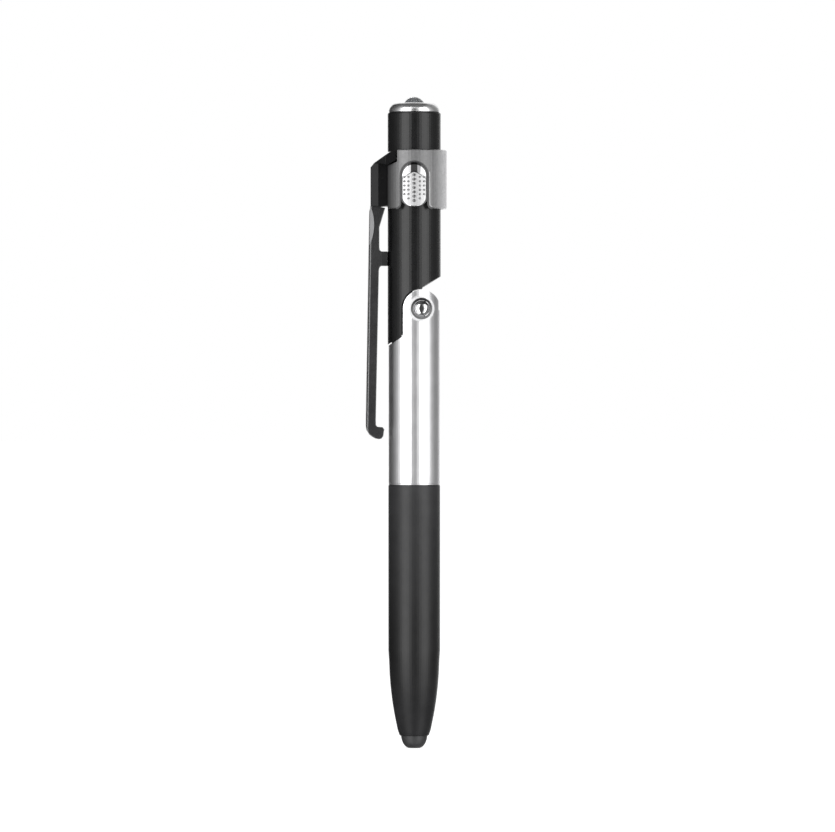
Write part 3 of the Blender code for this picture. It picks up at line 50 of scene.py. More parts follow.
PHOTO_WIDTH = 835
PHOTO_HEIGHT = 832
PIXELS_PER_METRE = 4490.0
AXIS_PIXEL = 414.2
TIP_PIXEL = 748.0
LENS = 300.0
SENSOR = 36.0

# The hinge pin, and the black skirt beside it

PIN_X = 0.00165
PIN_Z = 0.0978
SKIRT_X = -0.0028
SKIRT_Z = 0.09185

# The slide switch: its button, the pad that stands proud of it, and the pips on the pad

BUTTON_RADIUS = 0.0074
BUTTON_HALF = 0.00285
BUTTON_ARCH_Z = 0.12715
BUTTON_FOOT_Z = 0.1225
BUTTON_BEVEL = 0.00028
PAD_RADIUS = 0.00762
PAD_Z = 0.1280
PIP_Z = 0.1274
PIP_PITCH = 0.00095

# The collar, its opening for the switch, and its greys from the clip's side (-X) to the other side, which are painted
# light and shade across it

COLLAR_RADIUS = 0.00725
NOTCH_HALF = 0.00305
NOTCH_ARCH_Z = 0.12735
NOTCH_FOOT_Z = 0.1200
NOTCH_FLARE = 0.0010
COLLAR_PAINTED_LIGHT = (
    (-0.0058, 0.055), (-0.0050, 0.100), (-0.0036, 0.130), (-0.0028, 0.170), (-0.0010, 0.185), (0.0020, 0.175),
    (0.0032, 0.135), (0.0042, 0.150), (0.0050, 0.300), (0.0058, 0.560), (0.0066, 0.850),
)


# Materials


class Look:
    """A material with a Principled shader, and short calls that add nodes to it."""

    def __init__(self, name, colour, roughness, metallic=0.0, **sockets):
        self.material = bpy.data.materials.new(name)
        self.material.use_nodes = True
        self.material.diffuse_color = (*colour, 1.0)
        self.tree = self.material.node_tree
        self.shader = self.tree.nodes["Principled BSDF"]
        self.colour = colour
        self.set("Base Color", (*colour, 1.0))
        self.set("Roughness", roughness)
        self.set("Metallic", metallic)
        for socket, value in sockets.items():
            self.set(socket.replace("_", " "), value)
        self.place = self.add("ShaderNodeTexCoord").outputs["Object"]

    def set(self, socket, value):
        """Sets a constant on the shader."""
        self.shader.inputs[socket].default_value = value

    def connect(self, socket, value):
        """Links a varying value to the shader."""
        self.link(value, self.shader.inputs[socket])

    def source_of(self, socket):
        """What is linked to a socket of the shader."""
        return self.shader.inputs[socket].links[0].from_socket

    def add(self, kind, **settings):
        node = self.tree.nodes.new(kind)
        for key, value in settings.items():
            setattr(node, key, value)
        return node

    def link(self, start, end):
        self.tree.links.new(start, end)

    def feed(self, socket, value):
        """Links a socket to what makes its value, or sets it to a number or colour."""
        if isinstance(value, bpy.types.NodeSocket):
            self.link(value, socket)
        elif isinstance(value, tuple):
            socket.default_value = (*value, 1.0)
        else:
            socket.default_value = value

    def mapped(self, stretch):
        node = self.add("ShaderNodeMapping")
        node.inputs["Scale"].default_value = stretch
        self.link(self.place, node.inputs["Vector"])
        return node.outputs["Vector"]

    def separate(self, vector):
        """The X, Y and Z of a vector, by name."""
        node = self.add("ShaderNodeSeparateXYZ")
        self.link(vector, node.inputs[0])
        return node.outputs

    def noise(self, scale, detail=3.0, stretch=(1, 1, 1)):
        node = self.add("ShaderNodeTexNoise")
        node.inputs["Scale"].default_value = scale
        node.inputs["Detail"].default_value = detail
        node.inputs["Roughness"].default_value = 0.55
        self.link(self.mapped(stretch), node.inputs["Vector"])
        return node.outputs["Fac"]

    def ramp(self, value, low, high, to_low=0.0, to_high=1.0):
        node = self.add("ShaderNodeMapRange")
        node.inputs["From Min"].default_value = low
        node.inputs["From Max"].default_value = high
        node.inputs["To Min"].default_value = to_low
        node.inputs["To Max"].default_value = to_high
        self.link(value, node.inputs["Value"])
        return node.outputs["Result"]

    def math(self, operation, first, second=0.0):
        node = self.add("ShaderNodeMath", operation=operation)
        self.feed(node.inputs[0], first)
        self.feed(node.inputs[1], second)
        return node.outputs["Value"]

    def distance(self, first, second):
        """The length of a line from its two parts, which are square to each other."""
        squares = self.math("ADD", self.math("MULTIPLY", first, first), self.math("MULTIPLY", second, second))
        return self.math("POWER", squares, 0.5)

    def axis_distance(self):
        """Distance from the pen's axis."""
        node = self.add("ShaderNodeVectorMath", operation="LENGTH")
        self.link(self.mapped((1, 1, 0)), node.inputs[0])
        return node.outputs["Value"]

    def scaled(self, colour, factor):
        """A colour times a varying factor."""
        node = self.add("ShaderNodeVectorMath", operation="SCALE")
        self.link(colour, node.inputs[0])
        self.link(factor, node.inputs["Scale"])
        return node.outputs["Vector"]

    def mix_colour(self, factor, first, second):
        """A Mix node's colour sockets go by place, because its sockets of each kind have the same names."""
        node = self.add("ShaderNodeMix", data_type="RGBA")
        self.link(factor, node.inputs[0])
        self.feed(node.inputs[6], first)
        self.feed(node.inputs[7], second)
        return node.outputs[2]

    def mix_value(self, factor, first, second):
        """The same for the number sockets of a Mix node."""
        node = self.add("ShaderNodeMix", data_type="FLOAT")
        self.link(factor, node.inputs[0])
        self.feed(node.inputs[2], first)
        self.feed(node.inputs[3], second)
        return node.outputs[0]

    def tint(self, factor, other):
        """Varies the base colour that is set towards another one, by a factor."""
        self.connect("Base Color", self.mix_colour(factor, self.colour, other))

    def cover(self, factor, other):
        """Lays another colour over the varying base colour, by a factor."""
        self.connect("Base Color", self.mix_colour(factor, self.source_of("Base Color"), other))

    def uneven(self, factor, low, high):
        """Varies the roughness between two values, by the middle half of a factor's range."""
        self.connect("Roughness", self.ramp(factor, 0.25, 0.75, low, high))

    def rounded_normal(self, radius):
        """The normal, turned as if the sharp edges had a small round."""
        node = self.add("ShaderNodeBevel", samples=6)
        node.inputs["Radius"].default_value = radius
        return node.outputs["Normal"]

    def bump(self, height, strength, distance, edge):
        """Fine relief, and a shading round of a given radius on the sharp edges."""
        node = self.add("ShaderNodeBump")
        node.inputs["Strength"].default_value = strength
        node.inputs["Distance"].default_value = distance
        self.link(height, node.inputs["Height"])
        self.connect("Normal", node.outputs["Normal"])
        if edge:
            self.link(self.rounded_normal(edge), node.inputs["Normal"])


def satin_metal(name, colour, roughness, spread, grain=9000.0, depth=4 * MICRON, stretch=(1, 1, 1), edge=0.0):
    """Metal with faint darker clouds.

    spread is how far the roughness varies, grain and depth make the relief, stretch lengthens both, and edge is the
    radius that the sharp edges are shaded with.
    """
    look = Look(name, colour, roughness, metallic=1.0)
    look.tint(look.ramp(look.noise(160.0, 4.0), 0.35, 0.65), tuple(c * 0.93 for c in colour))
    look.uneven(look.noise(420.0, 5.0, stretch), roughness - spread, roughness + spread)
    look.bump(look.noise(grain, 2.0, stretch), 0.35, depth, edge)
    return look


def plastic(name, colour, roughness, spread, grain=5000.0, depth=8 * MICRON, lighter=1.35, edge=0.0, **sockets):
    """Plastic or rubber with faint lighter clouds. The rest is as in satin_metal."""
    look = Look(name, colour, roughness, **sockets)
    look.tint(look.ramp(look.noise(220.0, 4.0), 0.35, 0.65), tuple(min(c * lighter, 1.0) for c in colour))
    look.uneven(look.noise(700.0, 4.0), roughness - spread, roughness + spread)
    look.bump(look.noise(grain, 3.0), 0.4, depth, edge)
    return look


def dress(look, *names):
    """Gives CAD nodes a material."""
    for name in names:
        for slot in NODES[name].material_slots:
            slot.material = look.material


def button_look():
    """Chrome, with a brushed pad that stands proud and painted shade: a dark band along the button's rounded edge."""
    look = satin_metal("slide_button", (0.88, 0.88, 0.89), roughness=0.07, spread=0.02, grain=5000.0,
                       depth=0.8 * MICRON, edge=0.00010)
    step, soft = 0.00010, 0.00002
    pad = look.ramp(look.axis_distance(), BUTTON_RADIUS + step - soft, BUTTON_RADIUS + step + soft)
    look.cover(pad, (0.60, 0.60, 0.605))
    look.connect("Roughness", look.mix_value(pad, look.source_of("Roughness"), 0.52))
    where = look.separate(look.place)
    above = look.math("SUBTRACT", where["Z"], BUTTON_ARCH_Z)
    foot_squash = 1.2
    below = look.math("MULTIPLY", look.math("SUBTRACT", BUTTON_FOOT_Z, where["Z"]), foot_squash)
    past = look.math("MAXIMUM", look.math("MAXIMUM", above, below), 0.0)
    inner, soft = BUTTON_HALF - BUTTON_BEVEL, 0.00005
    # Painted shade: the band along the button's rounded edge is laid over near black.
    bevel = look.ramp(look.distance(where["X"], past), inner - soft, inner + soft)
    look.cover(bevel, (0.07, 0.07, 0.071))
    return look


def from_pin(look):
    """How far a point lies from the hinge pin's axis across the pen, along it, and in all."""
    where = look.separate(look.place)
    across = look.math("SUBTRACT", where["X"], PIN_X)
    up = look.math("SUBTRACT", where["Z"], PIN_Z)
    return across, up, look.distance(across, up)


def pin_look():
    """Polished steel with painted shade above the crown of the head and in the turned groove below it."""
    look = satin_metal("hinge_pin", (0.88, 0.88, 0.89), roughness=0.07, spread=0.02, grain=5000.0, depth=0.8 * MICRON)
    painted_shade = (0.16, 0.16, 0.162)
    # The ramps run over distances from the pin's axis. The slant looks down and to the right.
    across, up, reach = from_pin(look)
    crown = look.math("MULTIPLY", look.ramp(up, 0.0006, 0.0010), look.ramp(reach, 0.00174, 0.00166))
    groove = look.math("MULTIPLY", look.ramp(reach, 0.00098, 0.00112), look.ramp(reach, 0.00150, 0.00136))
    slant = look.math("SUBTRACT", look.math("MULTIPLY", across, 0.6), look.math("MULTIPLY", up, 0.8))
    lower_right = look.math("MULTIPLY", groove, look.ramp(slant, 0.0003, 0.0009))
    # Painted shade: dark over the dome above its crown and in the groove on its lower right.
    look.cover(crown, painted_shade)
    look.cover(lower_right, painted_shade)
    return look


def grip_look():
    """Soft-touch coating: duller at the nose, where fingers rub it, and with painted light that makes it a little
    paler at both ends.
    """
    look = plastic("grip_soft_touch", (0.008, 0.008, 0.0084), roughness=0.43, spread=0.04, grain=9000.0,
                   depth=10 * MICRON, edge=0.00015)
    height = look.separate(look.place)["Z"]
    # Each ramp has two heights over the pen's tip, and the values there.
    look.connect("Specular IOR Level", look.ramp(height, 0.009, 0.022, 0.13, 0.42))
    # Painted light: the base colour is scaled paler towards the upper end and at the nose.
    upper_end = look.ramp(height, 0.026, 0.057, 0.5, 2.1)
    nose = look.ramp(height, 0.006, 0.020, 1.5, 0.0)
    look.connect("Base Color", look.scaled(look.source_of("Base Color"), look.math("ADD", upper_end, nose)))
    worn = look.ramp(height, 0.020, 0.055, 0.86, 1.0)
    look.connect("Roughness", look.math("MULTIPLY", look.source_of("Roughness"), worn))
    return look


def silver_look():
    """Polished metal, matt and pale on the chamfer of the recess round the hinge pin."""
    look = satin_metal("silver_polish", (0.86, 0.86, 0.87), roughness=0.32, spread=0.03, grain=7000.0,
                       depth=1.5 * MICRON, edge=0.00012)
    matt = look.ramp(from_pin(look)[2], 0.00292, 0.00276)
    look.connect("Metallic", look.ramp(matt, 0.0, 1.0, 1.0, 0.15))
    look.connect("Roughness", look.mix_value(matt, look.source_of("Roughness"), 0.6))
    return look


def arm_look():
    """Glossy black plastic, with a painted highlight of pale grey along the two outer edges of the clip."""
    look = plastic("clip_arm_black", (0.019, 0.019, 0.0195), roughness=0.24, spread=0.04, grain=4500.0,
                   depth=6 * MICRON, edge=0.00030, Specular_IOR_Level=0.9)
    # The rounded normal looks both outwards (-X) and sideways (Y) only along these edges.
    in_part = look.add("ShaderNodeVectorTransform", vector_type="NORMAL", convert_from="WORLD", convert_to="OBJECT")
    look.link(look.rounded_normal(0.00045), in_part.inputs["Vector"])
    facing = look.separate(in_part.outputs["Vector"])
    outwards = look.ramp(facing["X"], -0.05, -0.75)
    sideways = look.ramp(look.math("ABSOLUTE", facing["Y"]), 0.55, 0.72)
    # Painted highlight: pale grey laid over the black where the rounded edges face outwards and sideways.
    look.cover(look.math("MULTIPLY", outwards, sideways), (0.36, 0.36, 0.364))
    return look


def recess_look():
    """Turned metal in a dark grey that paints the shade in the recess, darker still above the pin, under the fold."""
    look = satin_metal("pin_recess", (0.30, 0.30, 0.303), roughness=0.42, spread=0.06, grain=8000.0)
    # Painted shade: darker towards the top of the recess, above the pin.
    painted_shade_above = look.ramp(look.separate(look.place)["Z"], PIN_Z - 0.0004, PIN_Z + 0.0018)
    look.cover(painted_shade_above, (0.05, 0.05, 0.052))
    return look


def collar_look():
    """Satin paint over metal, with painted light and shade across it: dark on the clip's side, palest on the side away
    from the clip.
    """
    look = satin_metal("collar_grey", (0.20, 0.20, 0.202), roughness=0.64, spread=0.05, grain=3500.0,
                       depth=16 * MICRON, edge=0.00020)
    look.set("Coat Weight", 1.0)
    look.set("Coat Roughness", 0.32)
    look.set("Coat IOR", 1.6)
    across = look.ramp(look.separate(look.place)["X"], -COLLAR_RADIUS, COLLAR_RADIUS)
    # The greys of this ramp are painted light and shade: darker on the clip's side, paler on the far side.
    painted_light_ramp = look.add("ShaderNodeValToRGB")
    look.link(across, painted_light_ramp.inputs["Fac"])
    stops = painted_light_ramp.color_ramp.elements
    while len(stops) < len(COLLAR_PAINTED_LIGHT):
        stops.new(1.0)
    for stop, (x, grey) in zip(stops, COLLAR_PAINTED_LIGHT):
        stop.position = (x + COLLAR_RADIUS) / (2 * COLLAR_RADIUS)
        stop.color = (grey, grey, grey * 1.01, 1.0)
    mottled = look.ramp(look.noise(2600.0), 0.3, 0.7, 0.88, 1.12)
    look.connect("Base Color", look.scaled(painted_light_ramp.outputs["Color"], mottled))
    return look


def lens_look():
    """Clear resin, a little uneven in its gloss."""
    look = Look("led_clear", (0.86, 0.88, 0.90), 0.05, Transmission_Weight=0.9, IOR=1.52)
    look.uneven(look.noise(900.0), 0.03, 0.08)
    return look


SILVER = silver_look()
BEZEL = satin_metal("bezel_chrome", (0.90, 0.90, 0.905), roughness=0.25, spread=0.03, grain=7000.0, depth=1.5 * MICRON,
                    edge=0.00004)
STEEL = satin_metal("steel", (0.74, 0.74, 0.75), roughness=0.12, spread=0.03, grain=8000.0, depth=1.5 * MICRON)
SPRING = satin_metal("spring_steel", (0.55, 0.55, 0.56), roughness=0.28, spread=0.05, grain=9000.0, depth=3 * MICRON)
BRASS = satin_metal("brass", (0.78, 0.58, 0.27), roughness=0.26, spread=0.06, grain=6000.0, depth=3 * MICRON)
CELL = satin_metal("cell_steel", (0.68, 0.68, 0.69), roughness=0.24, spread=0.05, grain=8000.0, depth=3 * MICRON,
                   stretch=(1, 1, 0.15))
GREY = collar_look()
RECESS = recess_look()
# Painted shadow along the step at the top of the button's pad.
PAD_STEP_SHADOW = satin_metal("pad_edge_shadow", (0.05, 0.05, 0.052), roughness=0.40, spread=0.06, grain=8000.0)
BLACK = plastic("black_satin", (0.0035, 0.0035, 0.0037), roughness=0.28, spread=0.03, grain=6000.0, depth=4 * MICRON,
                edge=0.00012, Specular_IOR_Level=0.43)
CLIP = plastic("clip_black", (0.005, 0.005, 0.0052), roughness=0.26, spread=0.04, grain=4500.0, depth=6 * MICRON,
               edge=0.00020, Specular_IOR_Level=0.16)
ARM = arm_look()
BUMP = plastic("clip_bump", (0.009, 0.009, 0.0092), roughness=0.40, spread=0.05, grain=4500.0, depth=6 * MICRON,
               edge=0.00020, Specular_IOR_Level=0.4)
# A painted highlight: grey for the strip on the clip arm's neck.
NECK_GLINT = satin_metal("clip_neck_glint", (0.17, 0.17, 0.173), roughness=0.34, spread=0.05, grain=4500.0)
GRIP = grip_look()
STYLUS = plastic("stylus_rubber", (0.020, 0.020, 0.021), roughness=0.50, spread=0.05, grain=8000.0, depth=20 * MICRON)
WHITE = plastic("white_plastic", (0.78, 0.78, 0.76), roughness=0.42, spread=0.05, grain=5000.0, depth=6 * MICRON,
                lighter=1.04)
INK = plastic("refill_plastic", (0.05, 0.05, 0.09), roughness=0.30, spread=0.04, grain=5000.0, depth=4 * MICRON)
BOARD = plastic("circuit_board_green", (0.03, 0.20, 0.09), roughness=0.42, spread=0.05, grain=6000.0, depth=6 * MICRON)
CLEAR = lens_look()
BUTTON = button_look()
PIN = pin_look()
# Painted shade round the collar's opening.
RIM_SHADE = satin_metal("slot_rim_shade", (0.08, 0.08, 0.081), roughness=0.50, spread=0.05, grain=5000.0, depth=3 * MICRON)
# A painted glint on the collar's edge outside the opening.
GLINT = satin_metal("slot_edge_glint", (0.38, 0.38, 0.384), roughness=0.45, spread=0.05, grain=5000.0, depth=3 * MICRON)
# Painted shade: the pips are dark grey for the shade on them.
PIP_SHADE = satin_metal("pip_painted_shade", (0.20, 0.20, 0.202), roughness=0.30, spread=0.04, grain=9000.0, depth=2 * MICRON)
SEAM = plastic("seam_black", (0.008, 0.008, 0.0083), roughness=0.55, spread=0.05, grain=6000.0, depth=4 * MICRON)

dress(SILVER, "silver_barrel")
dress(STEEL, "hinge_pin", "refill_tip", "led_lead_left", "led_lead_right", "clip_pin")
dress(BRASS, "cam_sleeve", "contact_plate", "slider_contact")
dress(GRIP, "grip_shell")
dress(STYLUS, "stylus_tip")
dress(WHITE, "twist_rotor", "cam_follower", "led_holder", "slider_stem")
dress(SPRING, "refill_spring", "battery_spring", "clip_spring")
dress(INK, "refill_tube")
dress(BLACK, "upper_barrel", "end_cap", "grip_insert")
dress(CELL, "cell_lower", "cell_middle", "cell_upper")
dress(BOARD, "circuit_board")
dress(CLEAR, "led")
dress(BEZEL, "led_bezel")
dress(BUTTON, "slide_button")
dress(GREY, "clip_collar")
dress(CLIP, "clip_base")
dress(ARM, "clip_arm")


# Pieces


def new_piece(name, points, faces, look, body):
    """A closed piece with outward faces, smooth but for its sharp edges, that rides on a body."""
    mesh = bpy.data.meshes.new(name)
    mesh.from_pydata(points, [], faces)
    shell = bmesh.new()
    shell.from_mesh(mesh)
    bmesh.ops.recalc_face_normals(shell, faces=shell.faces)
    shell.to_mesh(mesh)
    shell.free()
    mesh.materials.append(look.material)
    for polygon in mesh.polygons:
        polygon.use_smooth = True
    mesh.set_sharp_from_angle(angle=math.radians(35))
    made = bpy.data.objects.new(name, mesh)
    bpy.context.scene.collection.objects.link(made)
    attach(made, body)
    return made


def strip_faces(rows, count):
    """Faces that join rows of points, each row a closed section of count points, with a cap at both ends."""
    faces = [tuple(range(count)), tuple((rows - 1) * count + j for j in reversed(range(count)))]
    for row in range(rows - 1):
        here, there = row * count, (row + 1) * count
        for j in range(count):
            k = (j + 1) % count
            faces.append((here + j, there + j, there + k, here + k))
    return faces


def spun(outline, angle, place):
    """An outline of (radius, height) points, turned by an angle about the axis and put in its place."""
    return [place @ Vector((r * math.cos(angle), r * math.sin(angle), h)) for r, h in outline]


def lathed(name, outline, steps, place, look, body):
    """A closed ring from a closed outline of (radius, height) points. place turns and moves a point."""
    points, faces, count = [], [], len(outline)
    for i in range(steps):
        points += spun(outline, 2 * math.pi * i / steps, place)
        here, there = i * count, (i + 1) % steps * count
        for j in range(count):
            k = (j + 1) % count
            faces.append((here + j, there + j, there + k, here + k))
    return new_piece(name, points, faces, look, body)


def turned(name, outline, steps, place, look, body):
    """A turned solid from an open outline of (radius, height) points, both ends on the axis."""
    low_end, high_end, rows = outline[0], outline[-1], outline[1:-1]
    points = [place @ Vector((0, 0, low_end[1])), place @ Vector((0, 0, high_end[1]))]
    faces, count = [], len(rows)
    for i in range(steps):
        points += spun(rows, 2 * math.pi * i / steps, place)
        here, there = 2 + i * count, 2 + (i + 1) % steps * count
        faces.append((0, there, here))
        faces.append((1, here + count - 1, there + count - 1))
        for j in range(count - 1):
            faces.append((here + j, there + j, there + j + 1, here + j + 1))
    return new_piece(name, points, faces, look, body)


def arc(radius, centre, start, steps):
    """Points (radius, height) on a circle whose centre is on the axis, from an angle above level to its top."""
    angles = [math.radians(start + (90 - start) * i / steps) for i in range(steps + 1)]
    return [(radius * math.cos(a), centre + radius * math.sin(a)) for a in angles]


def along_y(turn):
    """Puts a piece made upright on the hinge pin's axis, turned by so many degrees about X."""
    return Matrix.Translation((PIN_X, 0, PIN_Z)) @ Matrix.Rotation(math.radians(turn), 4, "X")


def hinge_pin():
    """The pin with its two domed heads. Each dome rises from a thin flange to a small flat crown."""
    shank_radius, crown_radius = 0.0012, 0.00036
    dome = [(r + crown_radius, h) for r, h in arc(0.00150, 0.00420, 27.5, 9)[1:]]
    flange = [(0.00178, 0.0048), (0.00185, 0.00486), (0.00185, 0.00492),
              (0.00178, 0.00497), (0.00160, 0.00496), (0.00154, 0.00490)]
    half = [(shank_radius, 0.0048)] + flange + dome + [(0.0, 0.0057)]
    outline = [(r, -h) for r, h in reversed(half)] + half
    made = turned("hinge_pin_turned", outline, 64, along_y(90), PIN, "lower_barrel")
    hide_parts("hinge_pin")


def recess_rings():
    """A dark ring on the floor of the round recess that each head of the hinge pin lies in; its grey paints the shade
    there.
    """
    outline = ((0.00188, 0.00452), (0.00236, 0.00452), (0.00236, 0.00470),
               (0.00230, 0.00478), (0.00194, 0.00478), (0.00188, 0.00470))
    for name, turn in (("front", 90), ("back", -90)):
        lathed("hinge_recess_" + name, outline, 64, along_y(turn), RECESS, "lower_barrel")


def bump_skin():
    """The rubbing face of the clip's bump, which rests on the barrel."""
    points = []
    for x, half, low, high in ((-0.00735, 0.00243, 0.10737, 0.11053),
                               (-0.00600, 0.00243, 0.10737, 0.11053),
                               (-0.00591, 0.0023, 0.10743, 0.11047)):
        points += [(x, -half, low), (x, half, low), (x, half, high), (x, -half, high)]
    new_piece("clip_bump_skin", points, strip_faces(3, 4), BUMP, "clip")


def clip_neck_glint():
    """The slim grey facet along the outer front edge of the arm's neck, a painted highlight on the black clip."""
    foot_z, length, steps = 0.1120, 0.0086, 18
    foot_x, lean = -0.00995, 0.00015
    least_width, more_width = 0.00004, 0.00092
    front, depth = -0.00243, 0.0001
    points = []
    for i in range(steps + 1):
        share = i / steps
        z = foot_z + length * share
        width = least_width + more_width * math.sin(math.pi * share) ** 0.8
        outer = foot_x + lean * share
        inner = outer + width
        points += [(outer, front, z), (inner, front - width * 0.2, z),
                   (inner, front + depth, z), (outer, front + depth, z)]
    new_piece("clip_neck_glint", points, strip_faces(steps + 1, 4), NECK_GLINT, "clip")


def seam_rings():
    """Thin rings that close the seams at the grip's top, at its nose and under the torch's bezel."""
    foot = ((0.0050, 0.05862), (0.00566, 0.05862), (0.00569, 0.05866), (0.00569, 0.05895), (0.0050, 0.05895))
    lip = ((0.00300, 0.00285), (0.00312, 0.00278), (0.00336, 0.00305), (0.00338, 0.00322), (0.00300, 0.00322))
    seat = ((0.0050, 0.14150), (0.00552, 0.14150), (0.00556, 0.14154),
            (0.00556, 0.14176), (0.00552, 0.1418), (0.0050, 0.1418))
    lathed("silver_foot_ring", foot, 96, UPRIGHT, SILVER, "lower_barrel")
    lathed("nose_lip", lip, 96, UPRIGHT, GRIP, "grip")
    lathed("bezel_seat", seat, 96, UPRIGHT, SEAM, "upper_barrel")


def on_round(x, z, radius, side=-1):
    """A point on an upright round surface, on its front (side -1) or its back (side 1)."""
    return Vector((x, side * math.sqrt(radius ** 2 - x ** 2), z))


def skirt_lip():
    """The lip under the black skirt that closes the slanted seam on the silver barrel."""
    slope = math.tan(math.radians(33))
    start_x, width, steps = -0.0050, 0.0022, 24
    section = ((0.00578, -0.00002), (0.00589, -0.00002), (0.00589, -0.00030), (0.00578, -0.00034))
    for name, side in (("front", -1), ("back", 1)):
        points = []
        for i in range(steps + 1):
            x = start_x + width * i / steps
            z = SKIRT_Z + (x - SKIRT_X) * slope
            points += [on_round(x, z + rise, radius, side) for radius, rise in section]
        new_piece("skirt_lip_" + name, points, strip_faces(steps + 1, 4), BLACK, "upper_barrel")


def pad_arch():
    """A dark strip along the arched upper edge of the button's pad, painted as the shadow of its step."""
    half, sag, steps = 0.00262, 0.0015, 24
    middle_width, lost_width = 0.00036, 0.00016
    points = []
    for i in range(steps + 1):
        x = -half + 2 * half * i / steps
        share = abs(x) / half
        z = PAD_Z - sag * (1 - math.cos(math.pi / 2 * share)) ** 0.8
        width = middle_width - lost_width * share
        points += [on_round(x, z, BUTTON_RADIUS - 0.00005), on_round(x, z, PAD_RADIUS + 0.00001),
                   on_round(x, z + width / 2, PAD_RADIUS + 0.00001), on_round(x, z + width, BUTTON_RADIUS + 0.00002)]
    new_piece("pad_arch", points, strip_faces(steps + 1, 4), PAD_STEP_SHADOW, "slide_switch")


def pips():
    """Low domes on the button's pad in five columns, larger in the middle one, dark grey as painted shade."""
    points, faces, steps = [], [], 16
    large, small, height, sunk = 0.00043, 0.00029, 0.00018, 0.00003
    dome = ((1.0, 0.0), (0.93, 0.00007), (0.75, 0.00013), (0.45, 0.00017))
    columns = ((0.0, 0.0, 7), (0.446, 0.5, 6), (-0.446, 0.5, 6), (0.772, 0.5, 5), (-0.772, 0.5, 5))
    for share, lowered, count in columns:
        angle = math.asin(share * BUTTON_HALF / PAD_RADIUS)
        out = Vector((math.sin(angle), -math.cos(angle), 0))
        along = Vector((math.cos(angle), math.sin(angle), 0))
        size = large if share == 0.0 else small
        for number in range(count):
            foot = out * (PAD_RADIUS - sunk) + Vector((0, 0, PIP_Z - (number + lowered) * PIP_PITCH))
            first = len(points)
            for reach, rise in dome:
                for i in range(steps):
                    turn = 2 * math.pi * i / steps
                    up = Vector((0, 0, size * 0.8 * reach * math.sin(turn)))
                    points.append(foot + along * (size * reach * math.cos(turn)) + up + out * rise)
            points.append(foot + out * height)
            top = len(points) - 1
            faces.append(tuple(first + i for i in reversed(range(steps))))
            for i in range(steps):
                k = (i + 1) % steps
                for here in range(first, top - steps, steps):
                    faces.append((here + i, here + k, here + steps + k, here + steps + i))
                faces.append((top - steps + i, top - steps + k, top))
    new_piece("button_pips", points, faces, PIP_SHADE, "slide_switch")


def torch_bezel():
    """A smooth bezel ring with a rolled upper edge, and the skirt that screws into the cap."""
    outline = ((0.00280, 0.13770), (0.00460, 0.13770), (0.00460, 0.14156), (0.00556, 0.14156), (0.00564, 0.14164),
               (0.00566, 0.14180), (0.00563, 0.14206), (0.00556, 0.14234), (0.00545, 0.14256), (0.00531, 0.14278),
               (0.00515, 0.14299), (0.00499, 0.14318), (0.00479, 0.14335), (0.00456, 0.14348), (0.00430, 0.14356),
               (0.00395, 0.14360), (0.00340, 0.14360), (0.00300, 0.14356), (0.00284, 0.14345), (0.00280, 0.14325))
    made = lathed("bezel_turned", outline, 96, UPRIGHT, BEZEL, "upper_barrel")
    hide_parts("led_bezel")


def stylus_dome():
    """The stylus rubber, smoothly domed round the hole for the ball point, with its neck."""
    outline = ((0.00120, 0.00003), (0.00138, 0.00007), (0.00168, 0.00020), (0.00198, 0.00042), (0.00224, 0.00071),
               (0.00247, 0.00106), (0.00265, 0.00145), (0.00279, 0.00187), (0.00288, 0.00230), (0.00293, 0.00272),
               (0.00294, 0.00310), (0.00294, 0.00440), (0.00220, 0.00440), (0.00220, 0.00860), (0.00120, 0.00860))
    made = lathed("stylus_turned", outline, 96, UPRIGHT, STYLUS, "grip")
    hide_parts("stylus_tip")


def torch_glass():
    """A smooth LED lens, with the flange that the bezel holds."""
    flange = [(0.0, 0.1364), (0.0029, 0.1364), (0.0029, 0.1374), (0.0025, 0.1374)]
    outline = flange + arc(0.0025, 0.1425, 0, 14)[:-1] + [(0.0, 0.1450)]
    made = turned("led_lens", outline, 64, UPRIGHT, CLEAR, "upper_barrel")
    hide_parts("led")


def slot_path():
    """The edge of the collar's opening for the switch, each point (x, z) with its direction into the collar."""
    foot_steps, arch_steps = 8, 28
    foot = []
    for i in range(foot_steps + 1):
        angle = math.radians(-90 - 90 * i / foot_steps)
        x, z = math.cos(angle), math.sin(angle)
        foot.append((NOTCH_HALF + NOTCH_FLARE * (1 + x), NOTCH_FOOT_Z + NOTCH_FLARE * (1 + z), -x, -z))
    arch = []
    for i in range(arch_steps + 1):
        angle = math.pi * i / arch_steps
        x, z = math.cos(angle), math.sin(angle)
        arch.append((NOTCH_HALF * x, NOTCH_ARCH_Z + NOTCH_HALF * z, x, z))
    return foot + arch + [(-x, z, -out_x, out_z) for x, z, out_x, out_z in reversed(foot)]


def slot_strip(name, path, near, far, look):
    """A thin bevel that follows the edge of the opening, between two distances from it."""
    section = ((near, -0.0001), (near, 0.00001), ((near + far) / 2, 0.00003), (far, 0.00001), (far, -0.0002))
    points = []
    for x, z, out_x, out_z in path:
        points += [on_round(x + out_x * reach, z + out_z * reach, COLLAR_RADIUS + rise) for reach, rise in section]
    new_piece(name, points, strip_faces(len(path), len(section)), look, "upper_barrel")


def slot_edges():
    """A dark strip of painted shade round the opening, and a painted glint on the edge outside it on the side away
    from the clip.
    """
    path = slot_path()
    glint_points = 12
    slot_strip("slot_rim", path, -0.00016, 0.00020, RIM_SHADE)
    slot_strip("slot_edge_glint", path[:glint_points], 0.00034, 0.00052, GLINT)


hinge_pin()
recess_rings()
bump_skin()
clip_neck_glint()
seam_rings()
skirt_lip()
pad_arch()
pips()
torch_bezel()
stylus_dome()
torch_glass()
slot_edges()


# Studio

